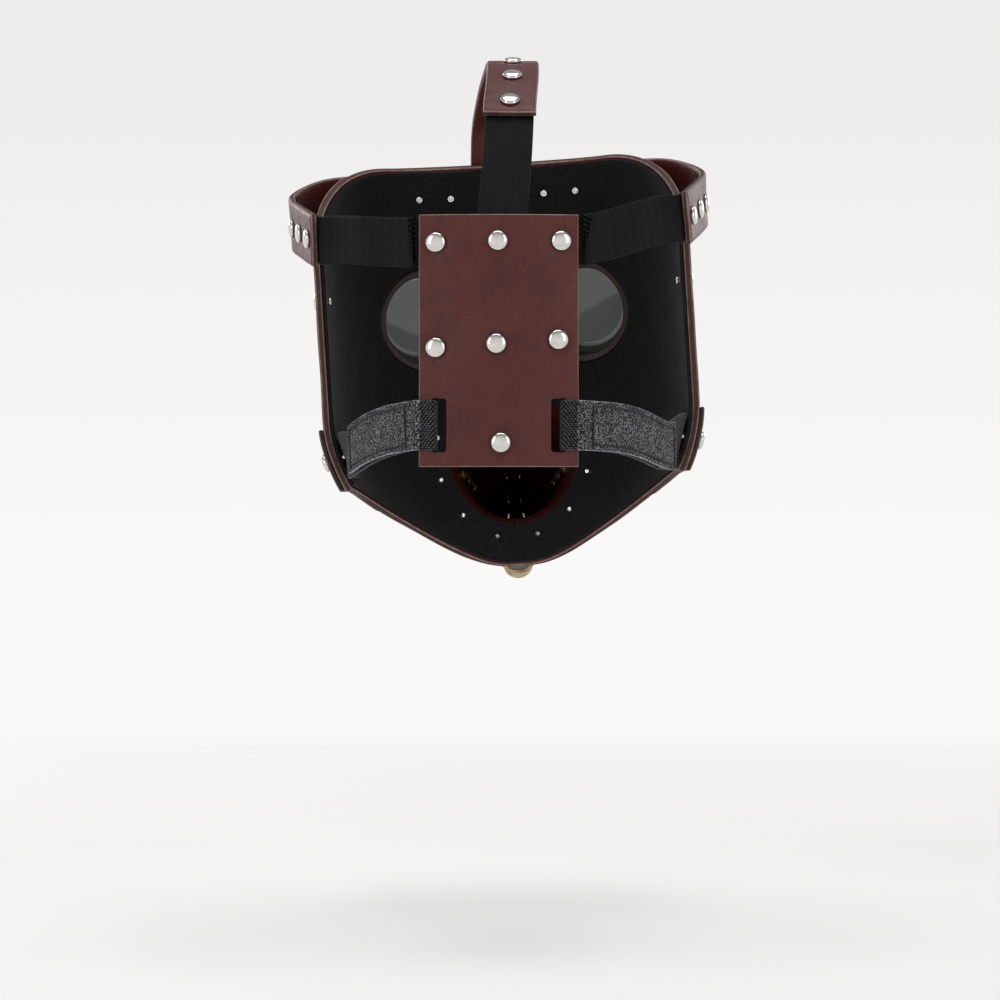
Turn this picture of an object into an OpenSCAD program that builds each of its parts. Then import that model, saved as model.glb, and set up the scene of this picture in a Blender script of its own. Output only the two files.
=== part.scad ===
// Plague doctor mask with its head harness, in the pose it takes on a head.
// Origin: centre of the wearer's head at eye level. +X wearer's left, +Y rearward, +Z up. Millimetres.

/* [Worn pose] */
// Sideways roll of the mask front on the head
worn_roll = 3.5; // [0:0.5:5]
// Sideways place of the rear panel
panel_x = 3.5; // [0:0.5:5]

/* [Face] */
// Half width of the face at the ears
face_half_w = 80; // [76:1:90]
// Depth from the side edges to the front of the face
face_depth = 95; // [88:1:115]
// Height of the brow edge above eye level
brow_z = 84; // [80:1:90]
// Height of the chin edge
chin_z = -96; // [-115:1:-90]
// Thickness of the outer leather
shell_t = 2.4; // [1.8:0.1:3]
// Thickness of the inner lining
lining_t = 1.4; // [0.8:0.1:2]

/* [Beak] */
// Half width of the beak where it meets the face
beak_half_w = 31; // [25:1:33]
// Half height of the beak where it meets the face
beak_half_h = 33; // [27:1:35]
// Forward reach of the beak
beak_reach = 170; // [120:5:210]
// Drop of the beak's tip
beak_drop = 55; // [20:5:75]
// Wall of the beak
beak_wall = 2.4; // [1.8:0.1:3]
// Width of the strips over the two seams
seam_strip_w = 13; // [11:0.5:16]

/* [Goggles] */
// Angle of each eye out from straight ahead
eye_angle = 25; // [23:1:28]
// Height of the eyes
eye_z = 18; // [16:1:24]
// Radius of the clear bore behind each lens
eye_r = 20.5; // [17:0.5:21]
// Thickness of a lens
lens_t = 2.5; // [2:0.5:4]

/* [Leather straps] */
// Width of the leather straps
strap_w = 22; // [18:1:24]
// Thickness of the leather straps
strap_t = 3; // [2:0.2:3.6]
// Distance between rivets along a strap
rivet_pitch = 22; // [18:1:23]
// Distance from a strap's end to its first rivet
rivet_edge = 8; // [6:0.5:9]

/* [Elastic and webbing] */
// Width of the elastic bands
elastic_w = 20; // [16:1:20]
// Thickness of the elastic bands
elastic_t = 1.5; // [1:0.1:2]
// Thickness of the lower webbing straps
webbing_t = 1.6; // [1.2:0.1:1.8]
// Thickness of the hook pads on the tails
hook_t = 1.2; // [0.8:0.1:1.6]
// Share of the left lower strap that its tail covers
tail_share_left = 0.54; // [0.4:0.02:0.7]
// Share of the right lower strap that its tail covers
tail_share_right = 0.7; // [0.5:0.02:0.8]

/* [Rear panel] */
// Width of the rear panel
panel_w = 64.4; // [62:0.5:80]
// Height of the top edge of the rear panel
panel_top = 48; // [46:1:60]
// Height of the bottom edge of the rear panel
panel_bottom = -52.8; // [-65:0.1:-51]
// Thickness of the panel leather
panel_t = 2.8; // [2:0.1:3.4]
// Thickness of the panel lining
panel_lining_t = 0.8; // [0.6:0.1:1.2]
// Radius that the panel is curved to
panel_r = 160; // [140:5:200]

/* [Rivets] */
// Diameter of the large rivet caps
rivet_d = 8; // [6:0.5:9]
// Diameter of the small rivet caps
small_rivet_d = 5.6; // [4.5:0.1:6]

/* [Hidden] */

LEATHER = [0.33, 0.19, 0.17];
DARK_LEATHER = [0.24, 0.14, 0.12];
LINING = [0.07, 0.07, 0.07];
NICKEL = [0.8, 0.79, 0.76];
BRASS = [0.62, 0.5, 0.3];
ELASTIC = [0.08, 0.08, 0.09];
WEBBING = [0.2, 0.2, 0.22];
RUBBER = [0.05, 0.05, 0.05];
GLASS = [0.2, 0.22, 0.22, 0.5];

// Gap between layers that lie on each other
lay = 0.3;
// Gap between the shell and its lining
bond = 0.2;
// Gap between parts that seat on each other
seat_gap = 0.05;
// Gap round a shank in its hole
hole_gap = 0.1;
shank_r = 1.5;
small_shank_r = 1.1;
cap_h = 1.9;
small_cap_h = 1.4;
back_h = 1.1;
smooth_fn = 48;

// ---------- vectors and curves ----------

function unit(v) = v / norm(v);
function mix(a, b, t) = a + (b - a) * t;
function ease(t) = let (k = max(0, min(1, t))) k * k * (3 - 2 * k);
// A point of the mask front, rolled as it is worn
function worn(p) = [p.x * cos(worn_roll) + p.z * sin(worn_roll), p.y,
                    p.z * cos(worn_roll) - p.x * sin(worn_roll)];
function flip(p, side) = [side * p.x, p.y, p.z];

// Smooth curve through a few points, with some steps in each stretch
function bend(a, b, c, d, t) =
    0.5 * (2 * b + (c - a) * t + (2 * a - 5 * b + 4 * c - d) * t * t + (3 * b - a - 3 * c + d) * t * t * t);
function curve(p, steps) = let (n = len(p) - 1)
    concat([for (i = [0:n - 1], k = [0:steps - 1])
            bend(p[max(i - 1, 0)], p[i], p[i + 1], p[min(i + 2, n)], k / steps)], [p[n]]);

// Direction of a path, and the directions across and out of a band on it
function along(path, i) = unit(path[min(i + 1, len(path) - 1)] - path[max(i - 1, 0)]);
function across(path, i, up) = let (t = along(path, i)) unit(up - t * (up * t));
function outward(path, i, up, side) = side * unit(cross(along(path, i), across(path, i, up)));

// Length of a path up to point i, and the place at a distance along it
function run(path, i) = i <= 0 ? 0 : run(path, i - 1) + norm(path[i] - path[i - 1]);
function stretch_at(path, d, i = 1) =
    (i >= len(path) - 1 || run(path, i) >= d) ? i : stretch_at(path, d, i + 1);
function place_at(path, d) = let (i = stretch_at(path, d), a = run(path, i - 1), b = run(path, i))
    mix(path[i - 1], path[i], (d - a) / (b - a));
function out_at(path, d, up, side) = let (i = stretch_at(path, d), t = unit(path[i] - path[i - 1]))
    side * unit(cross(t, unit(up - t * (up * t))));

// ---------- solids from grids of points ----------

function quad(a, b, c, d) = [[a, b, c], [a, c, d]];

// Closed skin between two grids of points; a loop joins its last row to its first
module slab(top, bottom, loop = false) {
    rows = len(top);
    cols = len(top[0]);
    n = rows * cols;
    last = loop ? rows - 1 : rows - 2;
    function at(i, j) = (i % rows) * cols + j;
    m = floor((rows - 1) / 2);
    facing = cross(top[m][1] - top[m][0], top[m + 1][0] - top[m][0]) * (top[m][0] - bottom[m][0]);
    sheets = [for (i = [0:last], j = [0:cols - 2])
        each concat(quad(at(i, j), at(i, j + 1), at(i + 1, j + 1), at(i + 1, j)),
                    quad(n + at(i, j), n + at(i + 1, j), n + at(i + 1, j + 1), n + at(i, j + 1)))];
    sides = [for (i = [0:last])
        each concat(quad(at(i, 0), at(i + 1, 0), n + at(i + 1, 0), n + at(i, 0)),
                    quad(at(i, cols - 1), n + at(i, cols - 1),
                         n + at(i + 1, cols - 1), at(i + 1, cols - 1)))];
    e = rows - 1;
    ends = loop ? [] : [for (j = [0:cols - 2])
        each concat(quad(at(0, j), n + at(0, j), n + at(0, j + 1), at(0, j + 1)),
                    quad(at(e, j), at(e, j + 1), n + at(e, j + 1), n + at(e, j)))];
    faces = concat(sheets, sides, ends);
    polyhedron(concat([for (r = top) each r], [for (r = bottom) each r]),
               facing < 0 ? faces : [for (f = faces) [f[2], f[1], f[0]]], convexity = 10);
}

// Flat band along a path, between two heights above it
module band(path, ups, side, width, low, high) {
    function row(i, h) = let (w = across(path, i, ups[i]), o = outward(path, i, ups[i], side))
        [for (k = [-0.5, 0.5]) path[i] + w * width * k + o * h];
    slab([for (i = [0:len(path) - 1]) row(i, high)], [for (i = [0:len(path) - 1]) row(i, low)]);
}

// Children stand at a point, with +Z along a direction
module stand(p, n) {
    translate(p) rotate([0, acos(max(-1, min(1, n.z))), atan2(n.y, n.x)]) children();
}

module roll_front() {
    rotate([0, worn_roll, 0]) children();
}

// ---------- rivets ----------

// Domed rivet whose cap sits on the surface at z = 0 and that grips the layers below
module rivet(d, h, shank, grip) {
    dome = [for (k = [0:5]) let (a = 90 * k / 5) [d / 2 * cos(a), lay + h * (0.25 + 0.75 * sin(a))]];
    rotate_extrude($fn = smooth_fn)
        polygon(concat([[0, -grip - lay - back_h], [d * 0.34, -grip - lay - back_h], [d * 0.4, -grip - lay],
                        [shank, -grip - lay], [shank, lay], [d / 2, lay]],
                       [for (k = [0:4]) dome[k]], [[0, lay + h]]));
}

module big_rivet(grip) {
    rivet(rivet_d, cap_h, shank_r, grip);
}

module small_rivet(grip) {
    rivet(small_rivet_d, small_cap_h, small_shank_r, grip);
}

module rivet_hole(shank) {
    translate([0, 0, -15]) cylinder(r = shank + hole_gap, h = 25, $fn = 24);
}

// ---------- face surface ----------

// Power that makes the plan of the face squarer than an ellipse
face_power = 2.667;
face_rear = 8;
face_cols = 36;
face_rows = 18;

function face_w(z) = face_half_w - 0.0065 * pow(max(0, z - 45), 2) - 0.0085 * pow(max(0, -27 - z), 2);
function face_d(z) = face_depth - 0.0032 * pow(max(0, z + 10), 2) - 0.0026 * pow(max(0, -40 - z), 2);
function plan_r(a) = pow(pow(abs(sin(a)), face_power) + pow(abs(cos(a)), face_power), -1 / face_power);
function face_pt(a, z) = [face_w(z) * plan_r(a) * sin(a), -face_rear - face_d(z) * plan_r(a) * cos(a), z];
function face_n(a, z) = unit(cross(face_pt(a + 0.5, z) - face_pt(a - 0.5, z),
                                   face_pt(a, z + 0.5) - face_pt(a, z - 0.5)));
function face_at(a, z, off) = face_pt(a, z) + face_n(a, z) * off;
// The same surface by its sideways place instead of its angle
function face_y(x, z) = -face_rear - face_d(z) * pow(1 - pow(abs(x) / face_w(z), face_power), 1 / face_power);
function face_out(x, z) = unit([(face_y(x + 0.5, z) - face_y(x - 0.5, z)), -1,
                                (face_y(x, z + 0.5) - face_y(x, z - 0.5))]);

ear_corner_top = 48;
ear_corner_bottom = -58;
function low_edge(a) = chin_z + (ear_corner_bottom - chin_z) * pow(plan_r(a) * abs(sin(a)), 3);
function high_edge(a) = brow_z - (brow_z - ear_corner_top) * pow(max(0, abs(a) - 40) / 50, 2);
function face_grid(off, inset) =
    [for (i = [0:face_cols]) let (a = -90 + 180 * i / face_cols)
        [for (j = [0:face_rows])
            face_at(a, mix(low_edge(a) + inset, high_edge(a) - inset, j / face_rows), off)]];

eye_p = face_pt(eye_angle, eye_z);
eye_n = face_n(eye_angle, eye_z);
spigot_r = eye_r + 2.5;
eye_hole_r = spigot_r + lay;

beak_root_z = -46;
collar_w = 9.6;
collar_t = 1.9;
collar_rivet_count = 12;

module each_eye() {
    for (side = [-1, 1]) stand(flip(eye_p, side), flip(eye_n, side)) children();
}

module beak_mouth(shrink) {
    translate([0, -60, beak_root_z]) rotate([90, 0, 0]) linear_extrude(80)
        polygon([for (k = [0:27]) let (a = 360 * k / 28)
                 [(beak_half_w - shrink) * cos(a), (beak_half_h - shrink) * sin(a)]]);
}

// Places of the rivets that go through the face
function collar_place(k) = let (a = 360 * (k + 0.5) / collar_rivet_count,
                                x = (beak_half_w + collar_w * 0.55) * cos(a),
                                z = beak_root_z + (beak_half_h + collar_w * 0.55) * sin(a))
    [x, face_y(x, z), z];
brow_strap_z = brow_z - 12;
brow_angles = [16, 27];
crown_root_z = [brow_z - 18, brow_z - 6];
cheek_z = -44.5;
cheek_angles = [77, 86];
ear_rivet_angle = 84;
ear_rivet_z = 24;

// Children are repeated at every rivet through the face, on its outer surface
module at_collar_rivets() {
    for (k = [0:collar_rivet_count - 1]) let (p = collar_place(k)) stand(p, face_out(p.x, p.z)) children();
}

module at_brow_rivets() {
    for (side = [-1, 1], a = brow_angles)
        stand(flip(face_pt(a, brow_strap_z), side), flip(face_n(a, brow_strap_z), side)) children();
}

module at_crown_root() {
    for (z = crown_root_z) stand(face_pt(0, z), face_n(0, z)) children();
}

module at_cheek_rivets() {
    for (side = [-1, 1], a = cheek_angles)
        stand(flip(face_pt(a, cheek_z), side), flip(face_n(a, cheek_z), side)) children();
}

module at_ear_rivets() {
    for (side = [-1, 1])
        stand(flip(face_pt(ear_rivet_angle, ear_rivet_z), side),
              flip(face_n(ear_rivet_angle, ear_rivet_z), side)) children();
}

module face_cuts() {
    each_eye() translate([0, 0, -20]) cylinder(r = eye_hole_r, h = 40, $fn = smooth_fn);
    beak_mouth(beak_wall);
    at_collar_rivets() rivet_hole(small_shank_r);
    at_brow_rivets() rivet_hole(shank_r);
    at_crown_root() rivet_hole(shank_r);
    at_cheek_rivets() rivet_hole(shank_r);
    at_ear_rivets() rivet_hole(shank_r);
}

module face_shell() {
    color(LEATHER) roll_front() difference() {
        slab(face_grid(0, 0), face_grid(-shell_t, 0));
        face_cuts();
    }
}

module face_lining() {
    color(LINING) roll_front() difference() {
        slab(face_grid(-shell_t - bond, 1), face_grid(-shell_t - bond - lining_t, 1));
        face_cuts();
    }
}

face_stack = shell_t + bond + lining_t;

// ---------- beak ----------

beak_tip_r = 4;
beak_stations = [0, 0.04, 0.08, 0.13, 0.19, 0.26, 0.34, 0.42, 0.5, 0.58, 0.66, 0.74, 0.82, 0.9, 0.96];
beak_front_y = -face_rear - face_depth;
function beak_c(s) = [0, beak_front_y - beak_reach * s, beak_root_z - beak_drop * pow(s, 1.7)];
function beak_dir(s) = unit([0, -beak_reach, -beak_drop * 1.7 * pow(s, 0.7)]);
function beak_up(s) = let (d = beak_dir(s)) [0, d.z, -d.y];
function beak_size(s, root) = beak_tip_r + (root - beak_tip_r) * pow(1 - s, 0.9);
function beak_ring(s, a, off) = beak_c(s) + [1, 0, 0] * (beak_size(s, beak_half_w) + off) * cos(a)
    + beak_up(s) * (beak_size(s, beak_half_h) + off) * sin(a);
function beak_root(a, off) =
    let (x = (beak_half_w + off) * cos(a), z = beak_root_z + (beak_half_h + off) * sin(a))
    [x, face_y(x, z) - lay, z];
function beak_pt(s, a, off) = mix(beak_root(a, off), beak_ring(s, a, off), ease(s / 0.13));
function beak_n(s, a) = unit(cross(beak_pt(s, a + 1, 0) - beak_pt(s, a - 1, 0),
                                   beak_pt(s + 0.01, a, 0) - beak_pt(s - 0.01, a, 0)));

// Rivets in pairs along the two seams, and eyelets on the two flanks
ridge_places = [0.22, 0.34, 0.46, 0.58, 0.7];
keel_places = [0.22, 0.36, 0.5, 0.64];
seam_rivet_x = 4;
strip_t = 1.8;
eyelet_places = [0.2, 0.29, 0.38];
eyelet_angle = -8;
eyelet_bore = 2.6;
eyelet_barrel = 3.5;
function seam_angle(s) = acos(min(1, seam_rivet_x / beak_size(s, beak_half_w)));

module at_seam_rivets() {
    for (side = [-1, 1]) {
        for (s = ridge_places) let (a = seam_angle(s))
            stand(flip(beak_pt(s, a, 0), side), flip(beak_n(s, a), side)) children();
        for (s = keel_places) let (a = -seam_angle(s))
            stand(flip(beak_pt(s, a, 0), side), flip(beak_n(s, a), side)) children();
    }
}

module at_eyelets() {
    for (side = [-1, 1], s = eyelet_places)
        stand(flip(beak_pt(s, eyelet_angle, 0), side), flip(beak_n(s, eyelet_angle), side)) children();
}

module beak_half(side) {
    angles = [for (k = [0:12]) -90 + 15 * k];
    seam = [side * 0.1, 0, 0];
    color(LEATHER) roll_front() difference() {
        slab([for (s = beak_stations) [for (a = angles) flip(beak_pt(s, a, 0), side) + seam]],
             [for (s = beak_stations) [for (a = angles) flip(beak_pt(s, a, -beak_wall), side) + seam]]);
        at_seam_rivets() rivet_hole(small_shank_r);
        at_eyelets() translate([0, 0, -6]) cylinder(r = eyelet_barrel + hole_gap, h = 12, $fn = 32);
    }
}

// Strip over a seam: pole is 1 for the ridge and -1 for the keel
module seam_strip(pole) {
    stations = [for (s = beak_stations) if (s > 0.07 && s < 0.95) s];
    function half_w(s) = min(seam_strip_w / 2, 0.72 * beak_size(s, beak_half_w));
    function row(s, off) = [for (k = [-1, -0.5, 0, 0.5, 1])
        beak_pt(s, pole * acos(half_w(s) * k / (beak_size(s, beak_half_w) + off)), off)];
    color(DARK_LEATHER) roll_front() difference() {
        slab([for (s = stations) row(s, lay + strip_t)], [for (s = stations) row(s, lay)]);
        at_seam_rivets() rivet_hole(small_shank_r);
    }
}

module beak_left() {
    beak_half(1);
}

module beak_right() {
    beak_half(-1);
}

module beak_ridge_strip() {
    seam_strip(1);
}

module beak_keel_strip() {
    seam_strip(-1);
}

module beak_collar() {
    function row(k, off) = let (a = 10 * k) [for (w = [lay, collar_w / 3, collar_w * 2 / 3, collar_w])
        let (x = (beak_half_w + w) * cos(a), z = beak_root_z + (beak_half_h + w) * sin(a))
            [x, face_y(x, z), z] + face_out(x, z) * off];
    color(DARK_LEATHER) roll_front() difference() {
        slab([for (k = [0:35]) row(k, lay + collar_t)], [for (k = [0:35]) row(k, lay)], loop = true);
        at_collar_rivets() rivet_hole(small_shank_r);
    }
}

// Cap over the beak's end, from just past the seam strips
tip_from = 0.9;
tip_wall = 1.5;
module beak_tip() {
    wide = beak_size(tip_from, beak_half_h) + lay;
    narrow = beak_size(0.96, beak_half_h) + lay;
    reach = norm(beak_c(0.96) - beak_c(tip_from)) + lay;
    color(BRASS) roll_front() stand(beak_c(tip_from), beak_dir(tip_from)) rotate_extrude($fn = smooth_fn)
        polygon([[wide, lay], [wide + tip_wall + 0.8, lay],
                 [wide + tip_wall + 0.8, 2.2], [wide + tip_wall - 0.3, 3.4],
                 [narrow + tip_wall, reach], [narrow * 0.9, reach + 4], [narrow * 0.5, reach + 6.4],
                 [narrow * 0.2, reach + 7.4], [0, reach + 7.6], [0, reach + 3], [narrow * 0.6, reach + 2],
                 [narrow, reach]]);
}

module beak_rivets() {
    color(NICKEL) roll_front() at_seam_rivets() translate([0, 0, lay + strip_t])
        small_rivet(lay + strip_t + beak_wall + 0.4);
}

module collar_rivets() {
    color(NICKEL) roll_front() at_collar_rivets() translate([0, 0, lay + collar_t])
        small_rivet(lay + collar_t + face_stack);
}

module breather_eyelets() {
    flange = eyelet_barrel + 2;
    color(BRASS) roll_front() at_eyelets() rotate_extrude($fn = smooth_fn)
        polygon([[eyelet_bore, -beak_wall - 1.6],
                 [flange - 0.6, -beak_wall - 1.6], [flange - 0.6, -beak_wall - 0.8],
                 [eyelet_barrel, -beak_wall - 0.8], [eyelet_barrel, 0.45], [flange, 0.45], [flange, 0.9],
                 [flange - 0.8, 1.5], [eyelet_bore + 0.5, 1.5], [eyelet_bore, 1]]);
}

// ---------- goggles ----------

base_flange_r = spigot_r + 6;
base_flange_h = 2.5;
base_neck_r = spigot_r + 2;
base_h = 6;
bezel_r = base_neck_r + 1;
gasket_t = 1.4;
gasket_w = 3;
lens_r = eye_r + 0.4;
lens_low = base_h + seat_gap + gasket_t + seat_gap;
lens_high = lens_low + lens_t;
bezel_top = lens_high + 0.1 + 2.4;
screw_count = 6;
screw_circle = base_flange_r - 2.2;

module ring(r_out, r_in, low, high) {
    translate([0, 0, low]) difference() {
        cylinder(r = r_out, h = high - low, $fn = smooth_fn * 2);
        translate([0, 0, -1]) cylinder(r = r_in, h = high - low + 2, $fn = smooth_fn * 2);
    }
}

// The space behind the face's outer surface, which the goggle base is cut to sit on
module face_core() {
    slab(face_grid(lay, -6), face_grid(-25, -6));
}

module goggle_base(side) {
    color(DARK_LEATHER) roll_front() difference() {
        union() {
            difference() {
                stand(flip(eye_p, side), flip(eye_n, side)) union() {
                    ring(base_flange_r, eye_r, -12, base_flange_h);
                    ring(base_neck_r, eye_r, -12, base_h);
                }
                face_core();
            }
            stand(flip(eye_p, side), flip(eye_n, side)) ring(spigot_r, eye_r, -6.5, base_h);
        }
        at_screws(side) rivet_hole(screw_shank_r + hole_gap);
    }
}

screw_shank_r = 0.7;
screw_grip = 2.2;
module at_screws(side) {
    stand(flip(eye_p, side), flip(eye_n, side))
        for (k = [0:screw_count - 1]) rotate([0, 0, 360 * (k + 0.5) / screw_count])
            translate([screw_circle, 0, base_flange_h]) children();
}

module goggle_base_left() {
    goggle_base(1);
}

module goggle_base_right() {
    goggle_base(-1);
}

module goggle_bezel(side) {
    color(BRASS) roll_front() stand(flip(eye_p, side), flip(eye_n, side)) rotate_extrude($fn = smooth_fn * 2)
        polygon([[lens_r + 0.15, base_h + seat_gap],
                 [bezel_r, base_h + seat_gap], [bezel_r + 0.8, base_h + 1],
                 [bezel_r + 0.8, bezel_top - 1.6],
                 [bezel_r - 0.6, bezel_top - 0.2], [lens_r - 0.6, bezel_top],
                 [lens_r - 2.4, bezel_top - 1.4],
                 [lens_r - 2.4, lens_high + 0.1], [lens_r + 0.15, lens_high + 0.1]]);
}

module goggle_bezel_left() {
    goggle_bezel(1);
}

module goggle_bezel_right() {
    goggle_bezel(-1);
}

module lens(side) {
    color(GLASS) roll_front() stand(flip(eye_p, side), flip(eye_n, side))
        translate([0, 0, lens_low]) cylinder(r = lens_r, h = lens_t, $fn = smooth_fn * 2);
}

module lens_left() {
    lens(1);
}

module lens_right() {
    lens(-1);
}

module lens_gasket(side) {
    color(RUBBER) roll_front() stand(flip(eye_p, side), flip(eye_n, side))
        ring(lens_r, lens_r - gasket_w, base_h + seat_gap, base_h + seat_gap + gasket_t);
}

module lens_gasket_left() {
    lens_gasket(1);
}

module lens_gasket_right() {
    lens_gasket(-1);
}

module goggle_screws() {
    color(NICKEL) roll_front() for (side = [-1, 1]) at_screws(side) rotate_extrude($fn = 32)
        polygon([[0, -screw_grip], [screw_shank_r, -screw_grip], [screw_shank_r, seat_gap], [1.7, seat_gap],
                 [1.7, 0.5], [1.2, 1], [0, 1.15]]);
}

// ---------- leather straps ----------

strap_mid = lay + strap_t / 2;
UP = [0, 0, 1];
LEFT = [1, 0, 0];

// Half width, depth and brow height of the face that the free strap points below are drawn round
drawn_face = [80, 95, 84];
function with_face(p) = [p.x * face_half_w / drawn_face.x,
                         p.y - max(0, -p.y - face_rear) * (face_depth / drawn_face.y - 1),
                         p.z + brow_z - drawn_face.z];

// Crown strap, from the brow over the top of the head, leaning to the wearer's right
crown_root_drops = [24, 13, 2];
crown_free = [[-1.5, -66, 98.5], [-5, -43, 111], [-8, -20, 117.6], [-9.6, 3, 118.6], [-9, 25, 110.6],
              [-7.2, 44, 98.4], [-6.6, 51, 92.8]];
// The first free point keeps its distance from the brow
crown_first = with_face(crown_free[0]);
crown_lead = [crown_first.x, crown_free[0].y - (face_depth - drawn_face.y), crown_first.z];
crown_points = concat([for (z = crown_root_drops) face_at(0, brow_z - z, strap_mid)],
                      [crown_lead], [for (p = slice(crown_free, 1)) with_face(p)]);
crown_path = curve([for (p = crown_points) worn(p)], 3);
crown_len = run(crown_path, len(crown_path) - 1);
function crown_ups() = [for (p = crown_path) LEFT];
crown_rivet_runs = [for (k = [0:2]) crown_len - rivet_edge - rivet_pitch * k];

module at_crown_rivets() {
    for (d = crown_rivet_runs) stand(place_at(crown_path, d), out_at(crown_path, d, LEFT, -1)) children();
}

module crown_strap() {
    color(LEATHER) difference() {
        band(crown_path, crown_ups(), -1, strap_w, -strap_t / 2, strap_t / 2);
        at_crown_rivets() rivet_hole(shank_r);
        roll_front() at_crown_root() rivet_hole(shank_r);
    }
}

module crown_rivets() {
    color(NICKEL) at_crown_rivets() translate([0, 0, strap_t / 2]) big_rivet(strap_t + lay + elastic_t);
}

// Temple strap, from the brow out past the temple and back to the elastic
brow_run = [12, 20, 29, 37];
temple_free = [[62, -67.5, 71], [75, -59, 69.2], [84, -46, 65], [88.4, -33, 61], [88.4, -22, 57.8],
               [86, -8, 54.8], [81.9, 14, 50.8], [77.6, 35, 46.7]];
function temple_path(side) = curve([for (p = concat([for (a = brow_run) face_at(a, brow_strap_z, strap_mid)],
                                                    [for (p = temple_free) with_face(p)]))
                                    worn(flip(p, side))], 3);
temple_rivet_runs = [for (k = [0:2]) rivet_edge + rivet_pitch * k];
rolled_up = worn(UP);

module at_temple_rivets(side) {
    path = temple_path(side);
    total = run(path, len(path) - 1);
    for (d = temple_rivet_runs)
        stand(place_at(path, total - d), out_at(path, total - d, rolled_up, side)) children();
}

// The strap lies flat on the sloping brow, then turns upright once it is clear of it
brow_stations = 9;
function face_rise(a, z) = unit(face_pt(a, z + 1) - face_pt(a, z - 1));
function temple_ups(side, count) = [for (i = [0:count - 1])
    let (rise = face_rise(mix(brow_run[0], brow_run[3], min(1, i / brow_stations)), brow_strap_z))
        worn(flip(mix(rise, UP, ease((i - brow_stations) / brow_stations)), side))];

module temple_strap(side) {
    path = temple_path(side);
    color(LEATHER) difference() {
        band(path, temple_ups(side, len(path)), side, strap_w, -strap_t / 2, strap_t / 2);
        at_temple_rivets(side) rivet_hole(shank_r);
        roll_front() at_brow_rivets() rivet_hole(shank_r);
    }
}

module temple_strap_left() {
    temple_strap(1);
}

module temple_strap_right() {
    temple_strap(-1);
}

module temple_rivets_left() {
    color(NICKEL) at_temple_rivets(1) translate([0, 0, strap_t / 2]) big_rivet(strap_t + lay + elastic_t);
}

module temple_rivets_right() {
    color(NICKEL) at_temple_rivets(-1) translate([0, 0, strap_t / 2]) big_rivet(strap_t + lay + elastic_t);
}

module brow_rivets() {
    color(NICKEL) roll_front() {
        at_brow_rivets() translate([0, 0, lay + strap_t]) big_rivet(lay + strap_t + face_stack);
        at_crown_root() translate([0, 0, lay + strap_t]) big_rivet(lay + strap_t + face_stack);
    }
}

// Leather patch over the strap's rivets at the jaw
tab_t = 1.8;
module cheek_tab(side) {
    function row(a, off) = [for (z = [-57, -50.5, -44, -37.5, -31]) flip(face_at(a, z, off), side)];
    color(DARK_LEATHER) roll_front() difference() {
        slab([for (a = [68:3:89]) row(a, lay + tab_t)], [for (a = [68:3:89]) row(a, lay)]);
        at_cheek_rivets() rivet_hole(shank_r);
    }
}

module cheek_tab_left() {
    cheek_tab(1);
}

module cheek_tab_right() {
    cheek_tab(-1);
}

module cheek_rivets() {
    color(NICKEL) roll_front() {
        at_cheek_rivets() translate([0, 0, lay + tab_t])
            big_rivet(lay + tab_t + face_stack + lay + cheek_dish + webbing_t);
        at_ear_rivets() big_rivet(face_stack);
    }
}

// ---------- rear panel ----------

panel_back_y = 102;
panel_axis_y = panel_back_y - panel_r;
lining_r = panel_r - panel_t - seat_gap;
stack_r = lining_r - panel_lining_t;
// Row height and sideways place of each panel rivet
panel_rivet_places = [[25.3, 36.8], [0.4, 37.4], [-25, 37.4],
                      [25.3, -5.2], [1, -3.6], [-23.8, -2], [-0.8, -43.1]];
slot_place = 24;
slot_w = 6;
slot_h = 21.5;
slot_corner = 1.4;
slot_z = -36.2;

// A point of the panel by its distance round the curve, its radius and its height
function panel_pt(d, r, z) = let (a = d / panel_r * 180 / PI)
    [panel_x + r * sin(a), panel_axis_y + r * cos(a), z];
function panel_out(d) = let (a = d / panel_r * 180 / PI) [sin(a), cos(a), 0];

module at_panel_rivets() {
    for (p = panel_rivet_places) stand(panel_pt(p[0], panel_r, p[1]), panel_out(p[0])) children();
}

module rounded_plate(w, low, high, r) {
    translate([-w / 2 + r, low]) square([w - 2 * r, high - low]);
    translate([-w / 2, low + r]) square([w, high - low - 2 * r]);
    for (x = [-w / 2 + r, w / 2 - r], z = [low + r, high - r]) translate([x, z]) circle(r = r, $fn = 32);
}

module panel_slot(side) {
    translate([panel_x, panel_axis_y, slot_z]) rotate([0, 0, -side * slot_place / panel_r * 180 / PI])
        translate([0, panel_r + 10, 0]) rotate([90, 0, 0]) linear_extrude(20)
            rounded_plate(slot_w, -slot_h / 2, slot_h / 2, slot_corner);
}

module panel_sheet(r_out, r_in, inset) {
    difference() {
        intersection() {
            translate([panel_x, panel_axis_y, panel_bottom - 5]) difference() {
                cylinder(r = r_out, h = panel_top - panel_bottom + 10, $fn = smooth_fn * 4);
                translate([0, 0, -1])
                    cylinder(r = r_in, h = panel_top - panel_bottom + 12, $fn = smooth_fn * 4);
            }
            translate([panel_x, panel_back_y + 5, 0]) rotate([90, 0, 0]) linear_extrude(30)
                rounded_plate(panel_w - 2 * inset, panel_bottom + inset, panel_top - inset, 1.6);
        }
        for (side = [-1, 1]) panel_slot(side);
        at_panel_rivets() rivet_hole(shank_r);
    }
}

module back_panel() {
    color(LEATHER) panel_sheet(panel_r, panel_r - panel_t, 0);
}

module panel_lining() {
    color(LINING) panel_sheet(lining_r, stack_r, 0.4);
}

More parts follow.
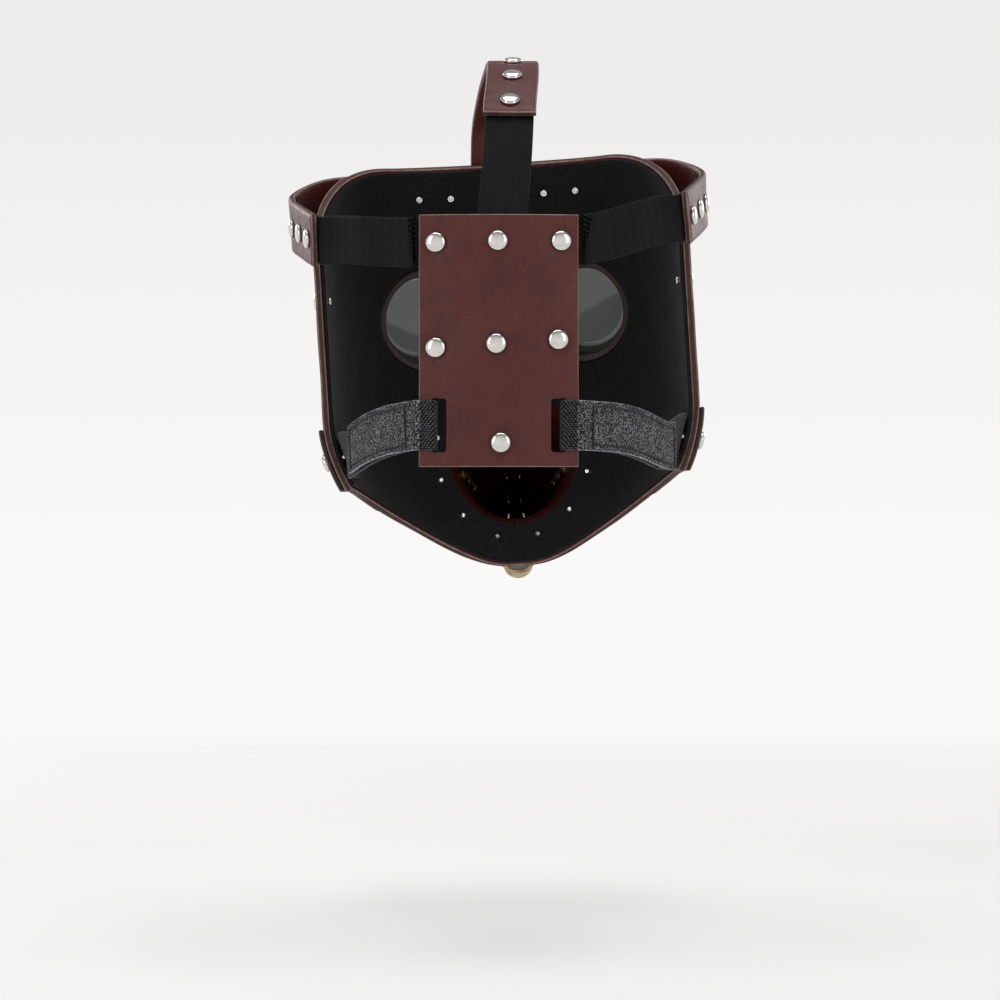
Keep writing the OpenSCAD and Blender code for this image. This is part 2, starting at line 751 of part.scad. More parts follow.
module panel_rivets() {
    bare = panel_t + seat_gap + panel_lining_t;
    color(NICKEL) for (p = panel_rivet_places)
        stand(panel_pt(p[0], panel_r, p[1]), panel_out(p[0]))
            big_rivet(p[1] > 20 ? bare + elastic_t + lay + 0.4 : bare);
}

// ---------- elastic bands ----------

// The bands run under the leather straps, so their paths share the straps' own
under = -strap_t / 2 - lay;
band_r = stack_r - lay - under;
rear_z = [38.3, 37];
function tail_of(list, n) = [for (i = [len(list) - n:len(list) - 1]) list[i]];

temple_shared = 13;
function temple_band(side) = let (
    strap = temple_path(side),
    end = strap[len(strap) - 1],
    home = rear_z[side > 0 ? 1 : 0],
    edge = panel_pt(side * (panel_w / 2 + 5), band_r, home),
    gap = [edge.x - end.x, edge.y - end.y],
    loose = [for (k = [[0.22, 0.2, 0.9], [0.5, 0.45, 0.6], [0.76, 0.74, 0.25]])
             [end.x + gap.x * k[1], end.y + gap.y * k[0], mix(home, end.z, k[2])]],
    held = [for (d = [panel_w / 2 + 1.5, 29, 25, 19, 13]) panel_pt(side * d, band_r, home)])
    concat(tail_of(strap, temple_shared),
           slice(curve(concat([strap[len(strap) - 4], end], loose, [edge], held), 2), 3));
function slice(list, from) = [for (i = [from:len(list) - 1]) list[i]];

function band_ups(path) = [for (i = [0:len(path) - 1])
    mix(rolled_up, UP, max(0, i - temple_shared + 1) / (len(path) - temple_shared))];

module elastic_temple(side) {
    path = temple_band(side);
    color(ELASTIC) difference() {
        band(path, band_ups(path), side, elastic_w, under - elastic_t, under);
        at_temple_rivets(side) rivet_hole(shank_r);
        at_panel_rivets() rivet_hole(shank_r);
    }
}

module elastic_temple_left() {
    elastic_temple(1);
}

module elastic_temple_right() {
    elastic_temple(-1);
}

crown_shared = 10;
crown_band = let (y = panel_axis_y + band_r - 0.5)
    concat(tail_of(crown_path, crown_shared),
           slice(curve(concat([crown_path[len(crown_path) - 4], crown_path[len(crown_path) - 1]],
                              [[-0.4, 64, 82.6], [0.4, 78, 70], [1.4, 90, 57.5], [2, 96.6, 49],
                               [2.4, y - 0.2, 42], [2.6, y, 34], [2.8, y, 27]]), 2), 3));

module elastic_crown() {
    color(ELASTIC) difference() {
        band(crown_band, [for (p = crown_band) LEFT], -1, elastic_w, under - elastic_t, under);
        at_crown_rivets() rivet_hole(shank_r);
        at_panel_rivets() rivet_hole(shank_r);
    }
}

// ---------- lower webbing straps and their tails ----------

strap_bulge = 8;
function strap_sag(side) = side > 0 ? 3.5 : 6;
// Power that moves the lowest point of the sag toward the cheek
sag_lean = 1.5;
web_inner_r = stack_r - lay - webbing_t / 2;
web_outer_r = panel_r + lay + webbing_t / 2;
bar_inner = slot_place + slot_w / 2;
web_turn = lay + webbing_t / 2;
web_overlap = 4.2;
web_end = bar_inner + web_overlap;
// The flat webbing bridges the hollow of the cheek by this much
cheek_dish = 0.9;
cheek_off = -face_stack - lay - webbing_t / 2 - cheek_dish;

function web_edge(side) = panel_pt(side * (panel_w / 2 + 3.5), web_inner_r, slot_z);
function web_cheek(side) = worn(flip(face_at(90, cheek_z, cheek_off), side));
// A point of the free stretch, at a share of the way from the panel to the cheek
function web_side(side) = let (v = web_cheek(side) - web_edge(side)) unit([-v.y * side, v.x * side, 0]);
function web_free(side, k, off) = let (a = web_edge(side), b = web_cheek(side), flat = mix(a, b, k))
    [flat.x, flat.y, mix(a.z, b.z, k) - strap_sag(side) * (1 - cos(360 * pow(k, sag_lean))) / 2]
    + web_side(side) * (strap_bulge * sin(180 * k) + off);

function web_path(side) = concat(
    [for (a = [73, 79, 85]) worn(flip(face_at(a, cheek_z, cheek_off), side))],
    [for (k = [1:-0.1:0]) web_free(side, k, 0)],
    [for (d = [panel_w / 2, bar_inner + 2.5]) panel_pt(side * d, web_inner_r, slot_z)],
    [for (a = [0, 45, 90])
        panel_pt(side * (bar_inner - web_turn * sin(a)), stack_r - web_turn * cos(a), slot_z)],
    [for (a = [90, 45, 0])
        panel_pt(side * (bar_inner - web_turn * sin(a)), panel_r + web_turn * cos(a), slot_z)],
    [panel_pt(side * web_end, web_outer_r, slot_z)]);

// Flat on the sloping cheek at its front end, upright from there on
function web_ups(side, count) = let (rise = face_rise(90, cheek_z))
    [for (i = [0:count - 1]) mix(worn(flip(rise, side)), UP, ease((i - 3) / 3))];

module cheek_strap(side) {
    path = web_path(side);
    color(WEBBING) difference() {
        band(path, web_ups(side, len(path)), side, elastic_w, -webbing_t / 2, webbing_t / 2);
        roll_front() at_cheek_rivets() rivet_hole(shank_r);
    }
}

module cheek_strap_left() {
    cheek_strap(1);
}

module cheek_strap_right() {
    cheek_strap(-1);
}

// The tail stands off the strap by the hook pad and a gap on each side of it
hook_gap = 0.2;
tail_off = webbing_t + hook_t + 2 * hook_gap;
// Shares of the free stretch where the tail leaves the panel and where its pad starts
tail_from = 0.12;
pad_from = 0.2;
pad_inset = 1.5;
function tail_share(side) = side > 0 ? tail_share_left : tail_share_right;
function tail_steps(side, from) = [for (i = [0:8]) mix(from, tail_share(side), i / 8)];
function tail_path(side) = concat(
    [for (d = [web_end + 0.4, panel_w / 2 + 1.5]) panel_pt(side * d, web_outer_r, slot_z)],
    [for (k = tail_steps(side, tail_from)) web_free(side, k, tail_off)]);

module strap_tail(side) {
    path = tail_path(side);
    color(WEBBING) band(path, [for (p = path) UP], -side, elastic_w, -webbing_t / 2, webbing_t / 2);
}

module strap_tail_left() {
    strap_tail(1);
}

module strap_tail_right() {
    strap_tail(-1);
}

module hook_pad(side) {
    path = [for (k = tail_steps(side, pad_from)) web_free(side, k, webbing_t / 2 + hook_gap + hook_t / 2)];
    short = slice([for (i = [0:len(path) - 1]) path[len(path) - 1 - i]], 1);
    color(RUBBER) band(short, [for (p = short) UP], side, elastic_w - 2 * pad_inset, -hook_t / 2, hook_t / 2);
}

module hook_pad_left() {
    hook_pad(1);
}

module hook_pad_right() {
    hook_pad(-1);
}

face_shell();
face_lining();
beak_left();
beak_right();
beak_ridge_strip();
beak_keel_strip();
beak_collar();
beak_tip();
beak_rivets();
collar_rivets();
breather_eyelets();
goggle_base_left();
goggle_base_right();
goggle_bezel_left();
goggle_bezel_right();
lens_left();
lens_right();
lens_gasket_left();
lens_gasket_right();
goggle_screws();
crown_strap();
crown_rivets();
temple_strap_left();
temple_strap_right();
temple_rivets_left();
temple_rivets_right();
brow_rivets();
cheek_tab_left();
cheek_tab_right();
cheek_rivets();
back_panel();
panel_lining();
panel_rivets();
elastic_crown();
elastic_temple_left();
elastic_temple_right();
cheek_strap_left();
cheek_strap_right();
strap_tail_left();
strap_tail_right();
hook_pad_left();
hook_pad_right();
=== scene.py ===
"""Looks of the plague doctor mask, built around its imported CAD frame.

The frame is in metres, +X the wearer's left, +Y rearward, +Z up, with the origin in the middle of the head at eye
level. Shapes are worked out in millimetres and scaled when a mesh is made.
"""

import math

import bpy
import numpy as np
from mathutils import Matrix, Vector, noise


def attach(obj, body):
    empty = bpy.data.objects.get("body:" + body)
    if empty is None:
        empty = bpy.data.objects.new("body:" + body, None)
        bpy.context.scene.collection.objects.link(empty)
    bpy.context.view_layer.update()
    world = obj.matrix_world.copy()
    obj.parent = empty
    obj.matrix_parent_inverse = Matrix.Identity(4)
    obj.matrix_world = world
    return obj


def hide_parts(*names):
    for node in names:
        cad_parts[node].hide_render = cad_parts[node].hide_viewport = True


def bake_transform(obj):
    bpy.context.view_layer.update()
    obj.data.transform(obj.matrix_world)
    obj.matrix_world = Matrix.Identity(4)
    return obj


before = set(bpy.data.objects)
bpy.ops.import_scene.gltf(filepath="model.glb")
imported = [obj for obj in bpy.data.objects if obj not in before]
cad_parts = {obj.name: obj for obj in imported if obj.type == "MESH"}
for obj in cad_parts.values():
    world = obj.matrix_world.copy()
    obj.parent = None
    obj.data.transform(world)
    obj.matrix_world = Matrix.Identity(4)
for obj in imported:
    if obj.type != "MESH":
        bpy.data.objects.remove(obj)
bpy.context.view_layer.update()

MM = 0.001
SIDES = {"left": 1, "right": -1}
UP = np.array([0.0, 0.0, 1.0])
LEFT = np.array([1.0, 0.0, 0.0])

# ---------------------------------------------------------------- sizes, in mm, as the CAD part has them

WORN_ROLL = math.radians(3.5)
LAY = 0.3

FACE_HALF_W, FACE_DEPTH, FACE_REAR, FACE_POWER = 80, 95, 8, 2.667
BROW_Z, CHIN_Z, EAR_TOP, EAR_BOTTOM = 84, -96, 48, -58
SHELL_T, BOND, LINING_T = 2.4, 0.2, 1.4
FACE_STACK = SHELL_T + BOND + LINING_T

BEAK_W, BEAK_H, BEAK_REACH, BEAK_DROP, BEAK_WALL = 31, 33, 170, 55, 2.4
BEAK_Z, BEAK_TIP_R, STRIP_W, STRIP_T = -46, 4, 13, 1.8
COLLAR_W, COLLAR_T, COLLAR_RIVETS = 9.6, 1.9, 12
RIDGE_PLACES = (0.22, 0.34, 0.46, 0.58, 0.7)
KEEL_PLACES = (0.22, 0.36, 0.5, 0.64)
EYELET_PLACES, EYELET_ANGLE, EYELET_BORE, EYELET_BARREL = (0.2, 0.29, 0.38), -8, 2.6, 3.5

EYE_ANGLE, EYE_Z, EYE_R, LENS_T = 25, 18, 20.5, 2.5
SPIGOT_R = EYE_R + 2.5
FLANGE_R, FLANGE_H = SPIGOT_R + 6, 2.5
NECK_R, BASE_H = SPIGOT_R + 2, 6
BEZEL_R, GASKET_T, LENS_R = NECK_R + 1, 1.4, EYE_R + 0.4
LENS_LOW = BASE_H + 0.1 + GASKET_T
LENS_HIGH = LENS_LOW + LENS_T
BEZEL_TOP = LENS_HIGH + 2.5

STRAP_W, STRAP_T, RIVET_PITCH, RIVET_EDGE = 22, 3, 22, 8
STRAP_MID = LAY + STRAP_T / 2
ELASTIC_W, ELASTIC_T, WEB_T, HOOK_T = 20, 1.5, 1.6, 1.2
BROW_STRAP_Z, BROW_ANGLES, CROWN_ROOT_Z = 72, (16, 27), (66, 78)
CHEEK_Z, CHEEK_ANGLES, CHEEK_DISH = -44.5, (77, 86), 0.9
EAR_RIVET_ANGLE, EAR_RIVET_Z = 84, 24
TAB_T = 1.8

PANEL_X, PANEL_W, PANEL_TOP, PANEL_BOTTOM, PANEL_T, PANEL_R = 3.5, 64.4, 48, -52.8, 2.8, 160
PANEL_LINING_T, PANEL_BACK_Y = 0.8, 102
PANEL_AXIS_Y = PANEL_BACK_Y - PANEL_R
LINING_R = PANEL_R - PANEL_T - 0.05
STACK_R = LINING_R - PANEL_LINING_T
PANEL_RIVETS = ((25.3, 36.8), (0.4, 37.4), (-25, 37.4), (25.3, -5.2), (1, -3.6), (-23.8, -2), (-0.8, -43.1))
SLOT_PLACE, SLOT_W, SLOT_H, SLOT_Z, SLOT_CORNER = 24, 6, 21.5, -36.2, 1.4
STRAP_BULGE, SAG_LEAN = 8, 1.5
STRAP_SAG = {1: 3.5, -1: 6}
TAIL_SHARE = {1: 0.54, -1: 0.7}

RIVET_R, CAP_H, SMALL_RIVET_R, SMALL_CAP_H = 4, 1.9, 2.8, 1.4

# ---------------------------------------------------------------- vectors and curves


def unit(v):
    return v / np.linalg.norm(v, axis=-1, keepdims=True)


def mix(a, b, t):
    return a + (b - a) * t


def ease(t):
    k = np.clip(t, 0, 1)
    return k * k * (3 - 2 * k)


def vec(x, y, z):
    return np.stack(np.broadcast_arrays(*[np.asarray(c, float) for c in (x, y, z)]), axis=-1)


def cos(a):
    return np.cos(np.radians(a))


def sin(a):
    return np.sin(np.radians(a))


def worn(p):
    """Points of the mask front, rolled as they are worn."""
    p = np.asarray(p, float)
    c, s = math.cos(WORN_ROLL), math.sin(WORN_ROLL)
    return vec(p[..., 0] * c + p[..., 2] * s, p[..., 1], p[..., 2] * c - p[..., 0] * s)


def flip(p, side):
    return np.asarray(p, float) * np.array([side, 1, 1])


def curve(points, steps):
    """Smooth curve through points, with some steps in each stretch."""
    p = np.asarray(points, float)
    n = len(p) - 1
    rows = []
    for i in range(n):
        a, b, c, d = p[max(i - 1, 0)], p[i], p[i + 1], p[min(i + 2, n)]
        for t in np.arange(steps) / steps:
            rows.append(0.5 * (2 * b + (c - a) * t + (2 * a - 5 * b + 4 * c - d) * t ** 2
                               + (3 * b - a - 3 * c + d) * t ** 3))
    return np.array(rows + [p[n]])


class Path:
    """A band's centre line with its directions across and out, found by distance along it."""

    def __init__(self, points, ups, side):
        self.p = np.asarray(points, float)
        self.d = np.concatenate([[0], np.cumsum(np.linalg.norm(np.diff(self.p, axis=0), axis=1))])
        self.length = self.d[-1]
        along = unit(np.gradient(self.p, self.d, axis=0))
        ups = np.broadcast_to(ups, self.p.shape)
        self.w = unit(ups - along * (ups * along).sum(-1, keepdims=True))
        self.n = side * unit(np.cross(along, self.w))

    def at(self, d):
        pick = lambda v: np.stack([np.interp(d, self.d, v[:, k]) for k in range(3)], axis=-1)
        return pick(self.p), unit(pick(self.w)), unit(pick(self.n))

    def stands(self, distances, off):
        """Places and outward directions for rivets on the band."""
        p, _, n = self.at(np.asarray(distances, float))
        return [(a + b * off, b) for a, b in zip(p, n)]


# ---------------------------------------------------------------- the mask's own surfaces


def face_w(z):
    return FACE_HALF_W - 0.0065 * np.maximum(0, z - 45) ** 2 - 0.0085 * np.maximum(0, -27 - z) ** 2


def face_d(z):
    return FACE_DEPTH - 0.0032 * np.maximum(0, z + 10) ** 2 - 0.0026 * np.maximum(0, -40 - z) ** 2


def plan_r(a):
    return (np.abs(sin(a)) ** FACE_POWER + np.abs(cos(a)) ** FACE_POWER) ** (-1 / FACE_POWER)


def face_pt(a, z):
    return vec(face_w(z) * plan_r(a) * sin(a), -FACE_REAR - face_d(z) * plan_r(a) * cos(a), z)


def face_n(a, z):
    return unit(np.cross(face_pt(a + 0.5, z) - face_pt(a - 0.5, z), face_pt(a, z + 0.5) - face_pt(a, z - 0.5)))


def face_at(a, z, off):
    return face_pt(a, z) + face_n(a, z) * np.asarray(off)[..., None]


def face_rise(a, z):
    return unit(face_pt(a, z + 1) - face_pt(a, z - 1))


def face_y(x, z):
    share = np.clip(np.abs(x) / face_w(z), 0, 1)
    return -FACE_REAR - face_d(z) * (1 - share ** FACE_POWER) ** (1 / FACE_POWER)


def face_out(x, z):
    return unit(vec(face_y(x + 0.5, z) - face_y(x - 0.5, z), -1.0, face_y(x, z + 0.5) - face_y(x, z - 0.5)))


def low_edge(a):
    return CHIN_Z + (EAR_BOTTOM - CHIN_Z) * (plan_r(a) * np.abs(sin(a))) ** 3


def high_edge(a):
    return BROW_Z - (BROW_Z - EAR_TOP) * (np.maximum(0, np.abs(a) - 40) / 50) ** 2


def beak_size(s, root):
    return BEAK_TIP_R + (root - BEAK_TIP_R) * (1 - s) ** 0.9


def beak_c(s):
    return vec(0 * s, -FACE_REAR - FACE_DEPTH - BEAK_REACH * s, BEAK_Z - BEAK_DROP * np.abs(s) ** 1.7)


def beak_dir(s):
    return unit(vec(0 * s, -BEAK_REACH + 0 * s, -BEAK_DROP * 1.7 * np.abs(s) ** 0.7))


def beak_pt(s, a, off):
    s, a, off = np.broadcast_arrays(*[np.asarray(v, float) for v in (s, a, off)])
    d = beak_dir(s)
    up = vec(0 * s, d[..., 2], -d[..., 1])
    ring = beak_c(s) + LEFT * ((beak_size(s, BEAK_W) + off) * cos(a))[..., None] \
        + up * ((beak_size(s, BEAK_H) + off) * sin(a))[..., None]
    x, z = (BEAK_W + off) * cos(a), BEAK_Z + (BEAK_H + off) * sin(a)
    root = vec(x, face_y(x, z) - LAY, z)
    return mix(root, ring, ease(s / 0.13)[..., None])


def beak_n(s, a):
    return unit(np.cross(beak_pt(s, a + 1, 0) - beak_pt(s, a - 1, 0),
                         beak_pt(s + 0.01, a, 0) - beak_pt(s - 0.01, a, 0)))


def panel_pt(d, r, z):
    a = np.asarray(d, float) / PANEL_R
    return vec(PANEL_X + r * np.sin(a), PANEL_AXIS_Y + r * np.cos(a), z)


def panel_out(d):
    a = np.asarray(d, float) / PANEL_R
    return vec(np.sin(a), np.cos(a), 0 * a)


# ---------------------------------------------------------------- where rivets stand

eye_p, eye_n = face_pt(EYE_ANGLE, EYE_Z), face_n(EYE_ANGLE, EYE_Z)


def on_face(side, a, z, off=0.0):
    p, n = flip(face_pt(a, z), side), flip(face_n(a, z), side)
    return worn(p + n * off), worn(n)


def collar_stands(off):
    stands = []
    for k in range(COLLAR_RIVETS):
        a = 360 * (k + 0.5) / COLLAR_RIVETS
        x = (BEAK_W + COLLAR_W * 0.55) * cos(a)
        z = BEAK_Z + (BEAK_H + COLLAR_W * 0.55) * sin(a)
        n = face_out(x, z)
        stands.append((worn(vec(x, face_y(x, z), z) + n * off), worn(n)))
    return stands


def seam_stands(off, places=((1, RIDGE_PLACES), (-1, KEEL_PLACES))):
    stands = []
    for pole, row in places:
        for s in row:
            a = pole * math.degrees(math.acos(4 / beak_size(s, BEAK_W)))
            for side in SIDES.values():
                p, n = flip(beak_pt(s, a, 0), side), flip(beak_n(s, a), side)
                stands.append((worn(p + n * off), worn(n)))
    return stands


def eyelet_stands():
    return [(worn(flip(beak_pt(s, EYELET_ANGLE, 0), side)), worn(flip(beak_n(s, EYELET_ANGLE), side)))
            for side in SIDES.values() for s in EYELET_PLACES]


brow_stands = [on_face(side, a, BROW_STRAP_Z) for side in SIDES.values() for a in BROW_ANGLES]
root_stands = [on_face(1, 0, z) for z in CROWN_ROOT_Z]
cheek_stands = [on_face(side, a, CHEEK_Z) for side in SIDES.values() for a in CHEEK_ANGLES]
ear_stands = [on_face(side, EAR_RIVET_ANGLE, EAR_RIVET_Z) for side in SIDES.values()]
panel_stands = [(panel_pt(d, PANEL_R, z), panel_out(d)) for d, z in PANEL_RIVETS]

# ---------------------------------------------------------------- strap, elastic and webbing paths

FINE = 10
BROW_STATIONS = 3


def crown_points():
    root = [face_at(0, BROW_Z - z, STRAP_MID) for z in (24, 13, 2)]
    free = [(-1.5, -66, 98.5), (-5, -43, 111), (-8, -20, 117.6), (-9.6, 3, 118.6), (-9, 25, 110.6),
            (-7.2, 44, 98.4), (-6.6, 51, 92.8)]
    return worn(curve(root + free, FINE))


def temple_points(side):
    root = [face_at(a, BROW_STRAP_Z, STRAP_MID) for a in (12, 20, 29, 37)]
    free = [(62, -67.5, 71), (75, -59, 69.2), (84, -46, 65), (88.4, -33, 61), (88.4, -22, 57.8), (86, -8, 54.8),
            (81.9, 14, 50.8), (77.6, 35, 46.7)]
    return worn(flip(curve(root + free, FINE), side))


def temple_ups(side, count):
    i = np.arange(count) / FINE
    rise = face_rise(mix(12, 37, np.minimum(1, i / BROW_STATIONS)), BROW_STRAP_Z)
    return worn(flip(mix(rise, UP, ease((i - BROW_STATIONS) / BROW_STATIONS)[:, None]), side))


crown_path = Path(crown_points(), LEFT, -1)
temple_paths = {}
for side in SIDES.values():
    points = temple_points(side)
    temple_paths[side] = Path(points, temple_ups(side, len(points)), side)

last_runs = [RIVET_EDGE + RIVET_PITCH * k for k in range(3)]
crown_stands = crown_path.stands([crown_path.length - d for d in last_runs], 0)
temple_stands = {side: path.stands([path.length - d for d in last_runs], 0) for side, path in temple_paths.items()}

UNDER = -STRAP_T / 2 - LAY
BAND_R = STACK_R - LAY - UNDER
HOME_Z = {1: 37, -1: 38.3}


def temple_band(side):
    strap = temple_points(side)
    before, end = strap[-1 - FINE], strap[-1]
    home = HOME_Z[side]
    edge = panel_pt(side * (PANEL_W / 2 + 5), BAND_R, home)
    gap = edge - end
    loose = [(end[0] + gap[0] * kx, end[1] + gap[1] * ky, mix(home, end[2], kz))
             for ky, kx, kz in ((0.22, 0.2, 0.9), (0.5, 0.45, 0.6), (0.76, 0.74, 0.25))]
    held = [panel_pt(side * d, BAND_R, home) for d in (PANEL_W / 2 + 1.5, 29, 25, 19, 13)]
    rest = curve([before, end] + loose + [edge] + held, FINE)[FINE + 1:]
    points = np.concatenate([strap[-4 * FINE - 1:], rest])
    shared = 4 * FINE + 1
    t = np.clip((np.arange(len(points)) - shared) / (len(points) - shared), 0, 1)[:, None]
    return Path(points, mix(worn(UP), UP, t), side)


def crown_band():
    strap = crown_points()
    y = PANEL_AXIS_Y + BAND_R - 0.5
    loose = [(-0.4, 64, 82.6), (0.4, 78, 70), (1.4, 90, 57.5), (2, 96.6, 49), (2.4, y - 0.2, 42), (2.6, y, 34),
             (2.8, y, 27)]
    rest = curve([strap[-1 - FINE], strap[-1]] + loose, FINE)[FINE + 1:]
    return Path(np.concatenate([strap[-3 * FINE - 1:], rest]), LEFT, -1)


WEB_INNER_R = STACK_R - LAY - WEB_T / 2
WEB_OUTER_R = PANEL_R + LAY + WEB_T / 2
BAR_INNER = SLOT_PLACE + SLOT_W / 2
WEB_TURN = LAY + WEB_T / 2
WEB_END = BAR_INNER + 4.2
CHEEK_OFF = -FACE_STACK - LAY - WEB_T / 2 - CHEEK_DISH


def web_free(side, k, off):
    """A point of the free webbing, at a share of the way from the panel to the cheek."""
    a = panel_pt(side * (PANEL_W / 2 + 3.5), WEB_INNER_R, SLOT_Z)
    b = worn(flip(face_at(90.0, CHEEK_Z, CHEEK_OFF), side))
    v = b - a
    out = unit(np.array([-v[1] * side, v[0] * side, 0]))
    flat = mix(a, b, k)
    z = mix(a[2], b[2], k) - STRAP_SAG[side] * (1 - math.cos(2 * math.pi * k ** SAG_LEAN)) / 2
    return np.array([flat[0], flat[1], z]) + out * (STRAP_BULGE * math.sin(math.pi * k) + off)


def web_path(side):
    cheek = [worn(flip(face_at(a, CHEEK_Z, CHEEK_OFF), side)) for a in (73, 79, 85)]
    free = [web_free(side, k, 0) for k in np.linspace(1, 0, 11)]
    bar = [panel_pt(side * d, WEB_INNER_R, SLOT_Z) for d in (PANEL_W / 2, BAR_INNER + 2.5)]
    turn = np.linspace(0, 90, 7)
    inner = [panel_pt(side * (BAR_INNER - WEB_TURN * sin(a)), STACK_R - WEB_TURN * cos(a), SLOT_Z) for a in turn]
    outer = [panel_pt(side * (BAR_INNER - WEB_TURN * sin(a)), PANEL_R + WEB_TURN * cos(a), SLOT_Z)
             for a in turn[::-1]]
    long_run = curve(cheek + free + bar, 6)
    points = np.concatenate([long_run, inner, outer, [panel_pt(side * WEB_END, WEB_OUTER_R, SLOT_Z)]])
    lean = ease((np.arange(len(points)) / 6 - 3) / 3)[:, None]
    return Path(points, mix(worn(flip(face_rise(90.0, CHEEK_Z), side)), UP, lean), side)


def tail_path(side):
    start = [panel_pt(side * d, WEB_OUTER_R, SLOT_Z) for d in (WEB_END + 0.4, PANEL_W / 2 + 1.5)]
    off = WEB_T + HOOK_T + 0.4
    run = [web_free(side, k, off) for k in np.linspace(0.12, TAIL_SHARE[side], 9)]
    return Path(curve(start + run, 6), UP, -side)


def pad_path(side):
    off = WEB_T / 2 + 0.2 + HOOK_T / 2
    run = [web_free(side, k, off) for k in np.linspace(0.2, TAIL_SHARE[side], 9)][:-1]
    return Path(curve(run[::-1], 6), UP, side)


# ---------------------------------------------------------------- meshes


def make_piece(name, verts, faces, mat, uv=None, edge=None, smooth=True):
    """A mesh piece from points in mm, with its cloth coordinates and how near each point is to a cut edge."""
    mesh = bpy.data.meshes.new(name)
    mesh.from_pydata((np.asarray(verts) * MM).tolist(), [], faces)
    mesh.update()
    if uv is not None:
        layer = mesh.uv_layers.new(name="cloth")
        loops = np.zeros(len(mesh.loops), int)
        mesh.loops.foreach_get("vertex_index", loops)
        layer.data.foreach_set("uv", (np.asarray(uv)[loops] * 0.01).astype(np.float32).ravel())
    if edge is not None:
        layer = mesh.attributes.new("edge", "FLOAT", "POINT")
        layer.data.foreach_set("value", np.asarray(edge, np.float32))
    mesh.polygons.foreach_set("use_smooth", [smooth] * len(mesh.polygons))
    obj = bpy.data.objects.new(name, mesh)
    bpy.context.scene.collection.objects.link(obj)
    mesh.materials.append(mat)
    return obj


def skin(name, made, mat):
    """The piece that slab's points, faces, cloth coordinates and edges make."""
    verts, faces, uv, edge = made
    return make_piece(name, verts, faces, mat, uv, edge)


def fit(piece, body, node=None):
    """Rides a piece on its CAD body and hides the node that it stands for."""
    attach(piece, body)
    if node:
        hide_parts(node)


def samples(count, length, r):
    """Shares from 0 to 1, closer together where an edge is rounded."""
    near = r * np.array([0, 0.06, 0.25, 0.55]) / length
    return np.concatenate([near, np.linspace(r / length, 1 - r / length, count), 1 - near[::-1]])


def rounding(share, length, r):
    near = np.clip(np.minimum(share, 1 - share) * length / r, 0, 1)
    return r * (1 - np.sqrt(1 - (1 - near) ** 2)), 1 - near


def slab(surface, counts, lengths, top, low, r, relief=None, under=None, loop=False, keep=None, snap=None):
    """Points, faces, cloth coordinates and edges of a closed skin round a surface.

    surface(u, v, off) gives points for shares u and v; relief and under give how far the outer and inner sides are
    raised at those points; keep says which cells exist, and snap moves the points round a hole onto its edge.
    """
    u = np.linspace(0, 1, counts[0] + 1)[:-1] if loop else samples(counts[0], lengths[0], r)
    v = samples(counts[1], lengths[1], r)
    gu, gv = np.meshgrid(u, v, indexing="ij")
    drop_v, edge_v = rounding(gv, lengths[1], r)
    drop_u, edge_u = (0 * drop_v, 0 * edge_v) if loop else rounding(gu, lengths[0], r)
    drop, edge = np.maximum(drop_u, drop_v), np.maximum(edge_u, edge_v)
    here = surface(gu, gv, 0 * gu + top)
    high = top - drop + (relief(here, gu, gv) if relief else 0)
    deep = low + drop + (under(here, gu, gv) if under else 0)
    rows, cols = gu.shape
    n = rows * cols
    verts = np.concatenate([surface(gu, gv, high).reshape(-1, 3), surface(gu, gv, deep).reshape(-1, 3)])
    i, j = np.meshgrid(np.arange(rows if loop else rows - 1), np.arange(cols - 1), indexing="ij")
    at = lambda a, b: (a % rows) * cols + b
    cells = np.stack([at(i, j), at(i + 1, j), at(i + 1, j + 1), at(i, j + 1)], axis=-1).reshape(-1, 4)
    if keep is not None:
        middle = verts[cells].mean(axis=1)
        cells = cells[keep(middle)]
    quads = np.concatenate([cells, cells[:, ::-1] + n])
    # The rim joins the two sides wherever an outer cell has no neighbour
    sides = np.concatenate([cells[:, [0, 1]], cells[:, [1, 2]], cells[:, [2, 3]], cells[:, [3, 0]]])
    code = sides[:, 0] * n + sides[:, 1]
    alone = ~np.isin(sides[:, 1] * n + sides[:, 0], code)
    rim = sides[alone]
    if snap:
        holes = np.unique(rim)
        row, col = holes // cols, holes % cols
        holes = holes[(row > 0) & (row < rows - 1) & (col > 0) & (col < cols - 1)]
        for side in (holes, holes + n):
            verts[side] = snap(verts[side])
    quads = np.concatenate([quads, np.stack([rim[:, 1], rim[:, 0], rim[:, 0] + n, rim[:, 1] + n], axis=-1)])
    m = len(cells) // 2
    a, b, c, _ = verts[cells[m]]
    if np.dot(np.cross(b - a, c - a), verts[cells[m][0]] - verts[cells[m][0] + n]) < 0:
        quads = quads[:, ::-1]
    used, back = np.unique(quads, return_inverse=True)
    uv = np.stack([gu * lengths[0], gv * lengths[1]], axis=-1).reshape(-1, 2)
    uv, edge = np.concatenate([uv, uv]), np.concatenate([edge.ravel(), edge.ravel()])
    return verts[used], back.reshape(-1, 4).tolist(), uv[used], edge[used]


def band(name, path, width, low, high, mat, step=1.4, across=14, r=None, relief=None, under=None):
    """A strap along a path, rounded at its cut edges."""
    r = r or 0.42 * (high - low)

    def surface(u, v, off):
        p, w, n = path.at(u.ravel() * path.length)
        shift = ((v.ravel() - 0.5) * width)[:, None]
        return (p + w * shift + n * off.ravel()[:, None]).reshape(u.shape + (3,))

    counts = (int(path.length / step), across)
    made = slab(surface, counts, (path.length, width), high, low, r, relief, under)
    return skin(name, made, mat)


def frame_of(n):
    """Two directions square to n."""
    e1 = unit(np.cross(UP if abs(n[2]) < 0.9 else LEFT, n))
    return e1, np.cross(n, e1)


